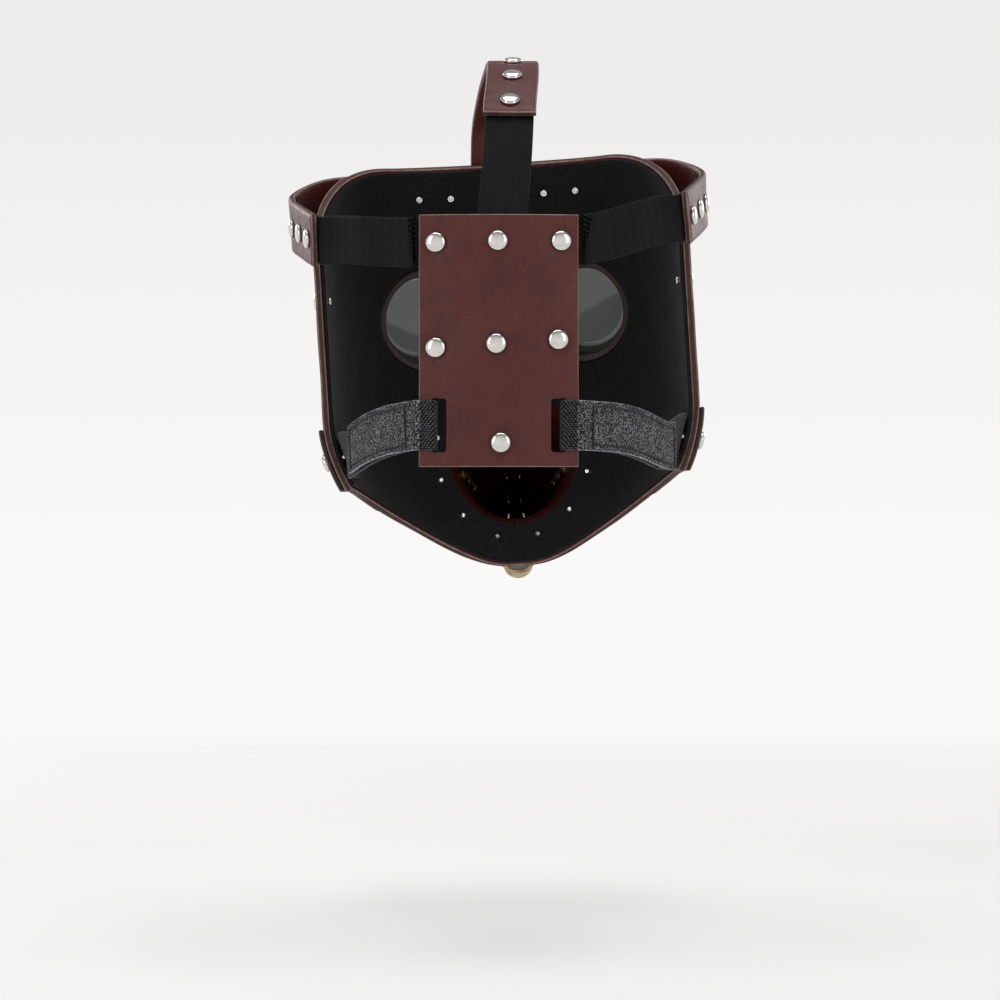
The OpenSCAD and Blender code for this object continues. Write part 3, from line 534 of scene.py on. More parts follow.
def revolve_mesh(profile, stands, segments=40, wave=None):
    """Points and faces of one profile of (radius, height) turned round each stand; it starts and ends on the axis
    or closes on itself."""
    profile = np.asarray(profile, float)
    closed = profile[0, 0] > 1e-6
    a = np.linspace(0, 2 * math.pi, segments, endpoint=False)
    verts, faces = [], []
    rows = len(profile)
    for p, n in stands:
        e1, e2 = frame_of(n)
        base = sum(len(v) for v in verts)
        r = profile[:, 0][:, None] + (wave(profile, a) if wave else 0 * a[None, :])
        ring = (p + (r * np.cos(a))[..., None] * e1 + (r * np.sin(a))[..., None] * e2
                + profile[:, 1][:, None, None] * n)
        verts.append(ring.reshape(-1, 3))
        for i in range(rows if closed else rows - 1):
            j = (i + 1) % rows
            for k in range(segments):
                m = (k + 1) % segments
                faces.append((base + i * segments + k, base + i * segments + m,
                              base + j * segments + m, base + j * segments + k))
    return np.concatenate(verts), faces


def revolve(name, profile, stands, mat, segments=40, wave=None):
    verts, faces = revolve_mesh(profile, stands, segments, wave)
    obj = make_piece(name, verts, faces, mat)
    clean(obj)
    return obj


def clean(obj, merge=1e-7, sharp=35):
    """Joins doubled points, points faces outward and marks the angle past which shading breaks."""
    import bmesh
    bm = bmesh.new()
    bm.from_mesh(obj.data)
    bmesh.ops.remove_doubles(bm, verts=bm.verts, dist=merge)
    bmesh.ops.dissolve_degenerate(bm, edges=bm.edges, dist=merge)
    bmesh.ops.recalc_face_normals(bm, faces=bm.faces)
    for edge in bm.edges:
        edge.smooth = len(edge.link_faces) != 2 or edge.calc_face_angle(0) < math.radians(sharp)
    bm.to_mesh(obj.data)
    bm.free()


def rivet_profile(r, h, grip, shank):
    """Back cap, shank and domed front cap, from the inner end to the outer."""
    back = [(0, -grip - LAY - 0.75), (r * 0.14, -grip - LAY - 0.7), (r * 0.2, -grip - LAY - 1.05),
            (r * 0.34, -grip - LAY - 1.1), (r * 0.4, -grip - LAY - 0.8), (r * 0.41, -grip - LAY - 0.35),
            (r * 0.38, -grip - LAY), (shank, -grip - LAY)]
    dome = [(r * (0.995 * cos(a)) ** 0.75, LAY - 0.05 + h * (0.3 + 0.7 * sin(a))) for a in np.linspace(0, 84, 11)]
    return back + [(shank, LAY), (r * 0.93, LAY - 0.1), (r * 0.985, LAY)] + dome + [(0, LAY - 0.05 + h)]


def stitches(name, lines, mat, pitch=3.3, length=2.5, r=0.36):
    """Thread that rises and dips along lines of places and outward directions."""
    turns, steps = 6, 5
    verts, faces = [], []
    for points, normals in lines:
        points, normals = np.asarray(points), np.asarray(normals)
        d = np.concatenate([[0], np.cumsum(np.linalg.norm(np.diff(points, axis=0), axis=1))])
        for start in np.arange(pitch / 2, d[-1] - pitch / 2, pitch):
            run = start + np.linspace(-length / 2, length / 2, steps)
            p = np.stack([np.interp(run, d, points[:, k]) for k in range(3)], axis=-1)
            n = unit(np.stack([np.interp(start, d, normals[:, k]) for k in range(3)], axis=-1))
            t = unit(p[-1] - p[0])
            side = np.cross(n, t)
            base = sum(len(v) for v in verts)
            lift = np.array([-0.25, 0.12, 0.22, 0.12, -0.25])
            thick = r * np.array([0.55, 0.95, 1, 0.95, 0.55])
            a = np.linspace(0, 2 * math.pi, turns, endpoint=False)
            for q, up, k in zip(p, lift, thick):
                verts.append(q + n * up + np.outer(np.cos(a), side) * k + np.outer(np.sin(a), n) * k)
            for i in range(steps - 1):
                for k in range(turns):
                    m = (k + 1) % turns
                    faces.append((base + i * turns + k, base + i * turns + m,
                                  base + (i + 1) * turns + m, base + (i + 1) * turns + k))
            faces.append(tuple(base + k for k in range(turns))[::-1])
            faces.append(tuple(base + (steps - 1) * turns + k for k in range(turns)))
    return make_piece(name, np.concatenate(verts), faces, mat)


def dimples(stands, depth=0.35, spread=5.5):
    """Relief that sinks leather under rivet caps."""
    def relief(here, u, v):
        total = np.zeros(here.shape[:-1])
        for p, _ in stands:
            d = np.linalg.norm(here - p, axis=-1)
            total -= depth * np.exp(-(d / spread) ** 4)
        return total
    return relief


def waves(size, height, seed):
    """Soft unevenness of leather that has been handled."""
    def relief(here, u, v):
        flat = here.reshape(-1, 3) / size + seed
        rise = np.array([noise.noise(Vector(q)) for q in flat])
        return (rise * height).reshape(here.shape[:-1])
    return relief


def both(*reliefs):
    return lambda here, u, v: sum(f(here, u, v) for f in reliefs)


# ---------------------------------------------------------------- materials


class Nodes:
    """Short calls for building one material's node tree."""

    def __init__(self, name):
        self.mat = bpy.data.materials.new(name)
        self.mat.use_nodes = True
        self.tree = self.mat.node_tree
        self.shader = self.tree.nodes["Principled BSDF"]

    def put(self, socket, value):
        if isinstance(value, bpy.types.NodeSocket):
            self.tree.links.new(value, socket)
        else:
            socket.default_value = value

    def node(self, kind, out=0, settings=(), **inputs):
        made = self.tree.nodes.new(kind)
        for key, value in dict(settings).items():
            setattr(made, key, value)
        for key, value in inputs.items():
            self.put(made.inputs[int(key[1:]) if key[0] == "i" and key[1:].isdigit() else key], value)
        return made.outputs[out]

    def place(self):
        return self.node("ShaderNodeTexCoord", "Object")

    def cloth(self, across, along):
        """Cloth coordinates, in threads."""
        uv = self.node("ShaderNodeUVMap", 0, {"uv_map": "cloth"})
        return self.node("ShaderNodeMapping", 0, Vector=uv, Scale=(along, across, 1))

    def noise(self, scale, detail=3, rough=0.5, vector=None, out="Fac"):
        return self.node("ShaderNodeTexNoise", out, Vector=vector or self.place(), Scale=scale, Detail=detail,
                         Roughness=rough)

    def cells(self, scale, vector=None, feature="F1", out="Distance"):
        return self.node("ShaderNodeTexVoronoi", out, {"feature": feature}, Vector=vector or self.place(),
                         Scale=scale)

    def ramp(self, value, *stops):
        made = self.tree.nodes.new("ShaderNodeValToRGB")
        bar = made.color_ramp
        while len(bar.elements) < len(stops):
            bar.elements.new(0.5)
        for element, (at, colour) in zip(bar.elements, stops):
            element.position = at
            element.color = (*colour, 1) if len(colour) == 3 else colour
        self.put(made.inputs[0], value)
        return made.outputs[0]

    def math(self, kind, a, b=0.0, clamp=False):
        return self.node("ShaderNodeMath", 0, {"operation": kind, "use_clamp": clamp}, i0=a, i1=b)

    def blend(self, fac, a, b, kind="MIX"):
        made = self.tree.nodes.new("ShaderNodeMix")
        made.data_type, made.blend_type = "RGBA", kind
        colour = lambda c: (*c, 1) if isinstance(c, tuple) and len(c) == 3 else c
        self.put(made.inputs[0], fac)
        self.put(made.inputs[6], colour(a))
        self.put(made.inputs[7], colour(b))
        return made.outputs[2]

    def range(self, value, low, high, to_low, to_high):
        return self.node("ShaderNodeMapRange", 0, None or {}, Value=value, i1=low, i2=high, i3=to_low, i4=to_high)

    def bump(self, height, distance, strength=1.0, normal=None):
        made = self.tree.nodes.new("ShaderNodeBump")
        made.inputs["Strength"].default_value = strength
        made.inputs["Distance"].default_value = distance
        self.put(made.inputs["Height"], height)
        if normal is not None:
            self.put(made.inputs["Normal"], normal)
        return made.outputs[0]

    def finish(self, **inputs):
        for key, value in inputs.items():
            name = key.replace("_", " ")
            if isinstance(value, tuple) and len(value) == 3 and "Color" in name or name == "Sheen Tint":
                value = (*value[:3], 1)
            self.put(self.shader.inputs[name], value)
        return self.mat


def leather(name, deep, main, light, edge_colour, rough=0.5):
    """Coated leather: pebbled grain, creases, uneven dye and paler cut edges."""
    n = Nodes(name)
    cloud = n.noise(28, 4, 0.6)
    mottle = n.noise(240, 3, 0.6)
    warped = n.node("ShaderNodeVectorMath", 0, {"operation": "ADD"}, i0=n.place(),
                    i1=n.node("ShaderNodeVectorMath", 0, {"operation": "SCALE"}, i0=n.noise(500, 2, out="Color"),
                              Scale=0.0007))
    pebble = n.cells(1150, warped)
    crease = n.cells(330, warped, "DISTANCE_TO_EDGE")
    fold = n.noise(75, 5, 0.65)
    dye = n.ramp(n.math("ADD", n.math("MULTIPLY", cloud, 0.65), n.math("MULTIPLY", mottle, 0.35)),
                 (0.3, deep), (0.52, main), (0.74, light))
    pores = n.range(pebble, 0.25, 0.75, 0.0, 0.35)
    dye = n.blend(pores, dye, deep)
    edge = n.node("ShaderNodeAttribute", "Fac", {"attribute_name": "edge"})
    # Near cut edges the colour turns paler and the leather rougher, and the side walls of the cut are darkened
    pale_rim = n.math("MULTIPLY", n.range(edge, 0.45, 0.75, 0.0, 1.0), n.range(mottle, 0.3, 0.65, 0.35, 1.0), True)
    colour = n.blend(pale_rim, dye, edge_colour)
    colour = n.blend(n.range(edge, 0.9, 0.985, 0.0, 0.9), colour, tuple(0.5 * c for c in deep))
    shine = n.math("ADD", n.range(fold, 0.3, 0.7, rough - 0.07, rough + 0.09), n.math("MULTIPLY", pale_rim, 0.25))
    normal = n.bump(fold, 0.0011, 0.5)
    normal = n.bump(n.ramp(crease, (0.0, (0, 0, 0)), (0.09, (1, 1, 1))), 0.00012, 0.45, normal)
    normal = n.bump(pebble, 0.0001, 0.5, normal)
    return n.finish(Base_Color=colour, Roughness=shine, Normal=normal, Specular_IOR_Level=0.3)


def metal(name, main, dark, rough, scratch=0.06, patina=0.0):
    """Plated or aged metal with fine scratches and a little grime."""
    n = Nodes(name)
    smear = n.noise(420, 4, 0.6)
    spots = n.noise(95, 5, 0.65)
    grime = n.range(spots, 0.5, 0.75, 0.0, patina)
    colour = n.blend(grime, n.blend(n.range(smear, 0.35, 0.65, 0.0, 0.35), main, dark), dark)
    shine = n.math("ADD", n.range(smear, 0.3, 0.7, rough - scratch, rough + scratch), n.math("MULTIPLY", grime, 0.3))
    normal = n.bump(n.noise(2600, 2), 0.00002, 0.25)
    return n.finish(Base_Color=colour, Roughness=shine, Normal=normal, Metallic=1.0)


def weave(name, main, light, along, across, slant, height, fuzz=0.0, rough=0.8, sheen=0.15, painted_glint=0.0, fray=0.0):
    """Woven band: slanted ribs of thread, fuzz, painted glints (bright specks on a few fibres that stand in for
    caught light) and frayed paler edges.
    """
    n = Nodes(name)
    threads = n.cloth(across, along)
    xyz = n.tree.nodes.new("ShaderNodeSeparateXYZ")
    n.put(xyz.inputs[0], threads)
    ribs = n.math("SINE", n.math("MULTIPLY", n.math("ADD", xyz.outputs[0], n.math("MULTIPLY", xyz.outputs[1], slant)),
                                 2 * math.pi))
    cross = n.math("SINE", n.math("MULTIPLY", xyz.outputs[1], 2 * math.pi))
    knit = n.range(n.math("ADD", ribs, n.math("MULTIPLY", cross, 0.6)), -1.3, 1.3, 0.0, 1.0)
    fluff = n.range(n.noise(1250, 3, 0.7), 0.38, 0.62, 0.0, 1.0)
    body = n.noise(60, 3, 0.6)
    mixed = n.math("ADD", n.math("MULTIPLY", knit, 1 - fuzz), n.math("MULTIPLY", fluff, fuzz))
    colour = n.ramp(mixed, (0.2, tuple(c * 0.3 for c in main)), (0.5, main), (0.8, light))
    colour = n.blend(n.range(body, 0.35, 0.7, 0.0, 0.35), colour, tuple(c * 0.6 for c in main))
    # Painted highlight: bright specks put into the colour stand in for glints of light on single fibres
    if painted_glint:
        bright = n.range(n.cells(1500), 0.0, 0.22, painted_glint, 0.0)
        colour = n.blend(n.math("MULTIPLY", bright, n.range(fluff, 0.45, 0.7, 0.0, 1.0), True), colour,
                         tuple(min(1, c * 9) for c in main))
    if fray:
        edge = n.node("ShaderNodeAttribute", "Fac", {"attribute_name": "edge"})
        loose = n.math("MULTIPLY", n.range(edge, 0.35, 0.7, 0.0, fray), fluff, True)
        colour = n.blend(loose, colour, tuple(min(1, c * 1.7) for c in light))
    normal = n.bump(mixed, height, 0.8)
    return n.finish(Base_Color=colour, Roughness=rough, Normal=normal, Sheen_Weight=sheen, Sheen_Roughness=0.5,
                    Specular_IOR_Level=0.06)


def rubber(name, colour):
    n = Nodes(name)
    mark = n.noise(300, 3)
    return n.finish(Base_Color=n.blend(mark, colour, tuple(c * 2.2 for c in colour)),
                    Roughness=n.range(mark, 0.3, 0.7, 0.45, 0.65), Normal=n.bump(n.noise(1800, 2), 0.00003, 0.4))


def smoked_glass(name):
    n = Nodes(name)
    haze = n.noise(55, 4, 0.6)
    tint = n.blend(haze, (0.045, 0.05, 0.048), (0.08, 0.085, 0.082))
    return n.finish(Base_Color=tint, Roughness=n.range(haze, 0.35, 0.75, 0.015, 0.06), Transmission_Weight=1.0,
                    IOR=1.5)


def thread(name, colour):
    n = Nodes(name)
    twist = n.noise(2400, 2)
    return n.finish(Base_Color=n.blend(twist, tuple(c * 0.6 for c in colour), tuple(c * 1.3 for c in colour)),
                    Roughness=0.6, Normal=n.bump(twist, 0.00006, 0.6))


BROWN = leather("brown_leather", (0.048, 0.0078, 0.0058), (0.076, 0.0132, 0.0105), (0.099, 0.0205, 0.0165),
                (0.27, 0.19, 0.165), 0.42)
TRIM = leather("trim_leather", (0.014, 0.006, 0.005), (0.028, 0.011, 0.0095), (0.046, 0.019, 0.016),
               (0.14, 0.09, 0.075), 0.4)
NICKEL = metal("nickel", (0.72, 0.70, 0.67), (0.46, 0.44, 0.41), 0.13)
BRASS = metal("aged_brass", (0.46, 0.33, 0.16), (0.13, 0.085, 0.045), 0.3, 0.08, 0.85)
LINING = weave("lining", (0.008, 0.008, 0.009), (0.022, 0.022, 0.024), 110, 110, 0.0, 0.00006, 0.35, 0.9, 0.06)
ELASTIC = weave("elastic", (0.0012, 0.0012, 0.0014), (0.018, 0.018, 0.020), 75, 95, 0.55, 0.0002, 0.15, 0.65, 0.0)
# For the webbings, the number after the sheen sets the strength of the painted glints, bright specks that stand in
# for caught light
WEBBING = weave("webbing", (0.009, 0.009, 0.0105), (0.095, 0.095, 0.105), 75, 105, 0.5, 0.00022, 0.35, 0.8, 0.02,
                0.5, 0.5)
LOOP_WEBBING = weave("loop_webbing", (0.022, 0.022, 0.025), (0.27, 0.27, 0.29), 115, 105, 0.5, 0.00025, 0.7, 0.85,
                     0.02, 0.9, 0.9)
HOOK = weave("hook_tape", (0.006, 0.006, 0.007), (0.03, 0.03, 0.032), 90, 90, 0.0, 0.0003, 0.2, 0.7, 0.05)
RUBBER = rubber("black_rubber", (0.011, 0.011, 0.011))
GLASS = smoked_glass("lens_glass")
THREAD = thread("waxed_thread", (0.13, 0.062, 0.045))
BLACK_THREAD = thread("black_thread", (0.003, 0.003, 0.0032))

# ---------------------------------------------------------------- face


def eye_distance(p, side):
    """How far points are from an eye's axis, and how far in front of or behind the face there."""
    q = p - worn(flip(eye_p, side))
    n = worn(flip(eye_n, side))
    along = q @ n
    return np.linalg.norm(q - along[..., None] * n, axis=-1), along


def unworn(p):
    c, s = math.cos(WORN_ROLL), math.sin(WORN_ROLL)
    return vec(p[..., 0] * c - p[..., 2] * s, p[..., 1], p[..., 2] * c + p[..., 0] * s)


def mouth_share(p):
    """Below 1 inside the beak's mouth."""
    q = unworn(p)
    return np.hypot(q[..., 0] / (BEAK_W - BEAK_WALL), (q[..., 2] - BEAK_Z) / (BEAK_H - BEAK_WALL))


EYE_HOLE_R = SPIGOT_R + LAY


def open_face(middle):
    """Cells of the face that aren't in an eye hole or the beak's mouth."""
    solid = mouth_share(middle) > 1
    for side in SIDES.values():
        solid &= eye_distance(middle, side)[0] > EYE_HOLE_R
    return solid


def to_hole(p):
    """Points moved onto the edge of the eye hole or mouth they are next to."""
    p = p.copy()
    for side in SIDES.values():
        far, along = eye_distance(p, side)
        near = np.abs(far - EYE_HOLE_R) < 3
        axis = worn(flip(eye_p, side)) + along[:, None] * worn(flip(eye_n, side))
        p[near] = (axis + (p - axis) * (EYE_HOLE_R / far)[:, None])[near]
    share = mouth_share(p)
    near = np.abs(share - 1) < 0.12
    q = unworn(p)
    centre = vec(0, q[:, 1], BEAK_Z)
    p[near] = worn(centre + (q - centre) / share[:, None])[near]
    return p


def face_surface(inset):
    def surface(u, v, off):
        a = -90 + 180 * u
        z = mix(low_edge(a) + inset, high_edge(a) - inset, v)
        return worn(face_at(a, z, off))
    return surface


PANEL_SEAM = 58
BIND_W = 7


def face_relief(here, u, v):
    """Cheek panels laid over the front, folded bindings at the edges and a centre seam."""
    a = -90 + 180 * u
    z = mix(low_edge(a), high_edge(a), v)
    cheek = 0.9 * ease((np.abs(a) - PANEL_SEAM) / 0.9 + 0.5)
    margin = np.minimum(z - low_edge(a), high_edge(a) - z)
    rear = (90 - np.abs(a)) * math.radians(1) * FACE_HALF_W
    binding = 0.5 * ease((BIND_W - np.minimum(margin, rear)) / 1.1 + 0.5)
    x = face_w(z) * plan_r(a) * sin(a)
    seam = -0.8 * np.exp(-(x / 0.7) ** 2) - 0.35 * np.exp(-((np.abs(x) - 3.4) / 0.8) ** 2)
    return np.maximum(cheek, binding) + seam


shell = slab(face_surface(0), (210, 120), (250, 160), 0, -SHELL_T, 1.0,
             both(face_relief, dimples(ear_stands, 0.45), waves(24, 0.5, 3.1)), None, False, open_face, to_hole)
face_shell = skin("face_shell_leather", shell, BROWN)
fit(face_shell, "mask", "face_shell")

inner = slab(face_surface(1), (170, 100), (250, 160), -SHELL_T - BOND, -FACE_STACK, 0.6,
             None, waves(15, 0.35, 9.7), False, open_face, to_hole)
face_lining = skin("face_lining_cloth", inner, LINING)
fit(face_lining, "mask", "face_lining")


def face_line(points, off):
    """Places and directions along a line of (angle, height) on the face."""
    a, z = np.array(points, float).T
    return worn(face_at(a, z, off)), worn(face_n(a, z))


def face_seams():
    wide = np.linspace(-86.5, 86.5, 400)
    lines = [face_line([(a, high_edge(a) - 4.2) for a in wide], 0.45),
             face_line([(a, low_edge(a) + 4.2) for a in wide], 0.45)]
    for side in SIDES.values():
        tall = np.linspace(low_edge(86.9) + 4, high_edge(86.9) - 4, 80)
        lines.append(face_line([(side * 86.9, z) for z in tall], 0.3))
        for shift, off in ((1.6, 0.95), (4.2, 0.95)):
            a = PANEL_SEAM + shift
            tall = np.linspace(low_edge(a) + 8, high_edge(a) - 8, 80)
            lines.append(face_line([(side * a, z) for z in tall], off))
        x = side * 3.4
        tall = np.linspace(-2, BROW_Z - 26, 40)
        p = vec(x, face_y(x, tall), tall)
        n = face_out(x, tall)
        lines.append((worn(p + n * -0.1), worn(n)))
    return lines


def clear_of(lines, stands, reach):
    """The stretches of lines that keep off round pieces."""
    kept = []
    for points, normals in lines:
        far = np.ones(len(points), bool)
        for p, _ in stands:
            far &= np.linalg.norm(points - p, axis=-1) > reach
        start = 0
        for i in range(1, len(far) + 1):
            if i == len(far) or far[i] != far[start]:
                if far[start] and i - start > 3:
                    kept.append((points[start:i], normals[start:i]))
                start = i
    return kept


eye_stands = [(worn(flip(eye_p, side)), worn(flip(eye_n, side))) for side in SIDES.values()]
seam_lines = clear_of(face_seams(), eye_stands, FLANGE_R + 1.5)
seam_lines = clear_of(seam_lines, ear_stands + cheek_stands, 5)
face_thread = stitches("face_stitching", seam_lines, THREAD)
fit(face_thread, "mask")

# ---------------------------------------------------------------- beak

BEAK_LENGTH = 182


def beak_relief(here, u, v):
    """Creases that ring the beak."""
    s = u * 0.96
    ring = np.sin(s * 75 + 1.5 * sin(v * 180)) * 0.5 + np.sin(s * 41 + 2)
    return 0.22 * ring * ease((s - 0.1) / 0.2) * ease((0.97 - s) / 0.1)


for label, side in SIDES.items():
    def half(u, v, off, side=side):
        return worn(flip(beak_pt(u * 0.96, -90 + 180 * v, off), side) + np.array([side * 0.1, 0, 0]))

    made = slab(half, (150, 70), (BEAK_LENGTH, 80), 0, -BEAK_WALL, 0.5,
                both(beak_relief, dimples(eyelet_stands(), 0.3, 6.5), waves(17, 0.35, 5 + side)))
    piece = skin(f"beak_{label}_leather", made, BROWN)
    fit(piece, "mask", f"beak_{label}")


def strip_surface(pole):
    def surface(u, v, off):
        s = mix(0.08, 0.9, u)
        half_w = np.minimum(STRIP_W / 2, 0.72 * beak_size(s, BEAK_W))
        a = pole * np.degrees(np.arccos(np.clip(half_w * (2 * v - 1) / (beak_size(s, BEAK_W) + off), -1, 1)))
        return worn(beak_pt(s, a, off))
    return surface


def strip_lines(pole):
    u = np.linspace(0.01, 0.99, 160)
    lines = []
    for v in (0.13, 0.87):
        p = strip_surface(pole)(u, 0 * u + v, 0 * u + LAY + STRIP_T)
        q = strip_surface(pole)(u, 0 * u + v, 0 * u + LAY + STRIP_T + 1)
        lines.append((p, unit(q - p)))
    return lines


for label, pole, places in (("ridge", 1, RIDGE_PLACES), ("keel", -1, KEEL_PLACES)):
    stands = seam_stands(LAY + STRIP_T, ((pole, places),))
    made = slab(strip_surface(pole), (150, 12), (150, STRIP_W), LAY + STRIP_T, LAY, 0.75, dimples(stands, 0.25, 3.4))
    piece = skin(f"beak_{label}_strip_leather", made, TRIM)
    fit(piece, "mask", f"beak_{label}_strip")
    piece = stitches(f"beak_{label}_stitching", strip_lines(pole), THREAD, 3, 2.2, 0.3)
    fit(piece, "mask")


def collar_surface(u, v, off):
    a = 360 * u
    w = LAY + (COLLAR_W - LAY) * v
    x, z = (BEAK_W + w) * cos(a), BEAK_Z + (BEAK_H + w) * sin(a)
    return worn(vec(x, face_y(x, z), z) + face_out(x, z) * off[..., None])


made = slab(collar_surface, (220, 12), (240, COLLAR_W), LAY + COLLAR_T, LAY, 0.8,
            dimples(collar_stands(LAY + COLLAR_T), 0.25, 3.4), None, True)
piece = skin("beak_collar_leather", made, TRIM)
fit(piece, "mask", "beak_collar")

turn = np.linspace(0, 1, 260)
lines = []
for v in (0.88, 0.14):
    p = collar_surface(turn, 0 * turn + v, 0 * turn + LAY + COLLAR_T)
    q = collar_surface(turn, 0 * turn + v, 0 * turn + LAY + COLLAR_T + 1)
    lines.append((p, unit(q - p)))
piece = stitches("collar_stitching", lines, THREAD, 3, 2.2, 0.3)
fit(piece, "mask")

wide, narrow = beak_size(0.9, BEAK_H) + LAY, beak_size(0.96, BEAK_H) + LAY
reach = float(np.linalg.norm(beak_c(0.96) - beak_c(0.9))) + LAY
TIP_WALL = 1.5
bead = [(wide + TIP_WALL - 0.1 + 0.9 * cos(a), LAY + 0.95 + 0.95 * sin(a)) for a in np.linspace(-90, 75, 9)]
second = [(mix(wide, narrow, 0.42) + TIP_WALL - 0.15 + 0.55 * cos(a), reach * 0.42 + 0.55 * sin(a))
          for a in np.linspace(-70, 70, 7)]
nose = [(narrow * 1.27 * cos(a) ** 0.85, reach + 0.4 + 7 * sin(a)) for a in np.linspace(0, 86, 12)]
tip = [(wide, LAY)] + bead + second + nose + [(0, reach + 7.5), (0, reach + 3), (narrow * 0.6, reach + 2),
                                             (narrow, reach), (wide, LAY)]
piece = revolve("beak_tip_metal", tip, [(worn(beak_c(0.9)), worn(beak_dir(0.9)))], BRASS, 64)
fit(piece, "mask", "beak_tip")

flange = EYELET_BARREL + 2
ring = [(EYELET_BORE + 1.45 + 1.45 * cos(a), 0.35 + 1.15 * sin(a)) for a in np.linspace(0, 180, 12)]
eyelet = ring + [(EYELET_BORE, -BEAK_WALL - 1.5), (flange - 1.2, -BEAK_WALL - 1.6), (flange - 0.6, -BEAK_WALL - 1.3),
                 (flange - 0.6, -BEAK_WALL - 0.8), (EYELET_BARREL, -BEAK_WALL - 0.7), (EYELET_BARREL, 0.35)]
piece = revolve("breather_eyelets_metal", eyelet, eyelet_stands(), BRASS, 40)
fit(piece, "mask", "breather_eyelets")

# ---------------------------------------------------------------- goggles


def seat_height(side, r, a, gap):
    """How high the face stands over the eye's own plane, round a circle."""
    n = flip(eye_n, side)
    e1, e2 = frame_of(n)
    h = np.zeros_like(a)
    for _ in range(12):
        q = flip(eye_p, side) + r * np.cos(a)[:, None] * e1 + r * np.sin(a)[:, None] * e2 + h[:, None] * n
        miss = q[:, 1] - face_y(q[:, 0], q[:, 2])
        h = h + miss / (-n[1]) * 0.9
    return h + gap


for label, side in SIDES.items():
    stand = (worn(flip(eye_p, side)), worn(flip(eye_n, side)))
    a = np.linspace(0, 2 * math.pi, 96, endpoint=False)
    raw_e1, raw_e2 = frame_of(flip(eye_n, side))
    seat = seat_height(side, FLANGE_R, a, LAY)
    in_seat = seat_height(side, SPIGOT_R, a, LAY)
    rows = [(EYE_R, -6.3 + 0 * a), (EYE_R + 0.5, -6.5 + 0 * a), (SPIGOT_R - 0.4, -6.5 + 0 * a),
            (SPIGOT_R, -6.1 + 0 * a), (SPIGOT_R, in_seat),
            (FLANGE_R - 0.5, seat_height(side, FLANGE_R - 0.5, a, LAY)),
            (FLANGE_R, seat + 0.3), (FLANGE_R, mix(seat, FLANGE_H, 0.5)), (FLANGE_R - 0.2, FLANGE_H - 0.7 + 0 * a),
            (FLANGE_R - 0.8, FLANGE_H - 0.1 + 0 * a), (FLANGE_R - 1.4, FLANGE_H + 0 * a),
            (NECK_R + 1.3, FLANGE_H + 0 * a), (NECK_R + 0.5, FLANGE_H + 0.25 + 0 * a),
            (NECK_R, FLANGE_H + 0.9 + 0 * a), (NECK_R, BASE_H - 0.3 + 0 * a), (NECK_R - 0.3, BASE_H + 0 * a),
            (EYE_R + 0.3, BASE_H + 0 * a), (EYE_R, BASE_H - 0.3 + 0 * a)]
    verts = np.concatenate([flip(eye_p, side) + r * np.cos(a)[:, None] * raw_e1 + r * np.sin(a)[:, None] * raw_e2
                            + h[:, None] * flip(eye_n, side) for r, h in rows])
    count = len(a)
    faces = [(i * count + k, i * count + (k + 1) % count, (i + 1) % len(rows) * count + (k + 1) % count,
              (i + 1) % len(rows) * count + k) for i in range(len(rows)) for k in range(count)]
    piece = make_piece(f"goggle_base_{label}_leather", worn(verts), faces, TRIM)
    clean(piece)
    fit(piece, "mask", f"goggle_base_{label}")

    grip_low, grip_high = BASE_H + 1.2, BEZEL_TOP - 2.2

    def knurl(profile, turn_angle):
        grip = ((profile[:, 0] > BEZEL_R) & (profile[:, 1] > grip_low - 0.1) & (profile[:, 1] < grip_high + 0.1))
        wave = np.sin(60 * turn_angle)
        return grip[:, None] * 0.32 * np.sign(wave)[None, :] * np.abs(wave) ** 0.5

    bezel = [(LENS_R + 0.15, BASE_H + 0.05), (BEZEL_R - 0.2, BASE_H + 0.05), (BEZEL_R + 0.4, BASE_H + 0.35),
             (BEZEL_R + 0.45, grip_low), (BEZEL_R + 0.45, mix(grip_low, grip_high, 0.5)), (BEZEL_R + 0.45, grip_high),
             (BEZEL_R - 0.1, grip_high + 0.15), (BEZEL_R - 0.1, grip_high + 0.6), (BEZEL_R + 0.2, grip_high + 0.9),
             (BEZEL_R + 0.1, BEZEL_TOP - 0.8), (BEZEL_R - 0.7, BEZEL_TOP - 0.15), (BEZEL_R - 1.8, BEZEL_TOP),
             (LENS_R - 0.6, BEZEL_TOP - 0.05), (LENS_R - 1.5, BEZEL_TOP - 0.7), (LENS_R - 2.2, BEZEL_TOP - 1.6),
             (LENS_R - 2.4, LENS_HIGH + 0.15), (LENS_R + 0.15, LENS_HIGH + 0.1)]
    piece = revolve(f"goggle_bezel_{label}_metal", bezel, [stand], BRASS, 480, knurl)
    fit(piece, "mask", f"goggle_bezel_{label}")

    bulge = [(LENS_R * sin(t), LENS_HIGH - 0.1 + 1.1 * (cos(t) - cos(75)) / (1 - cos(75)))
             for t in np.linspace(0, 75, 14)]
    lens = [(0, LENS_LOW)] + [(LENS_R * k, LENS_LOW) for k in (0.25, 0.5, 0.75, 0.97)] + [(LENS_R, LENS_LOW + 0.4),
            (LENS_R, LENS_HIGH - 0.3)] + bulge[::-1]
    piece = revolve(f"lens_{label}_glass", lens, [stand], GLASS, 96)
    fit(piece, "mask", f"lens_{label}")

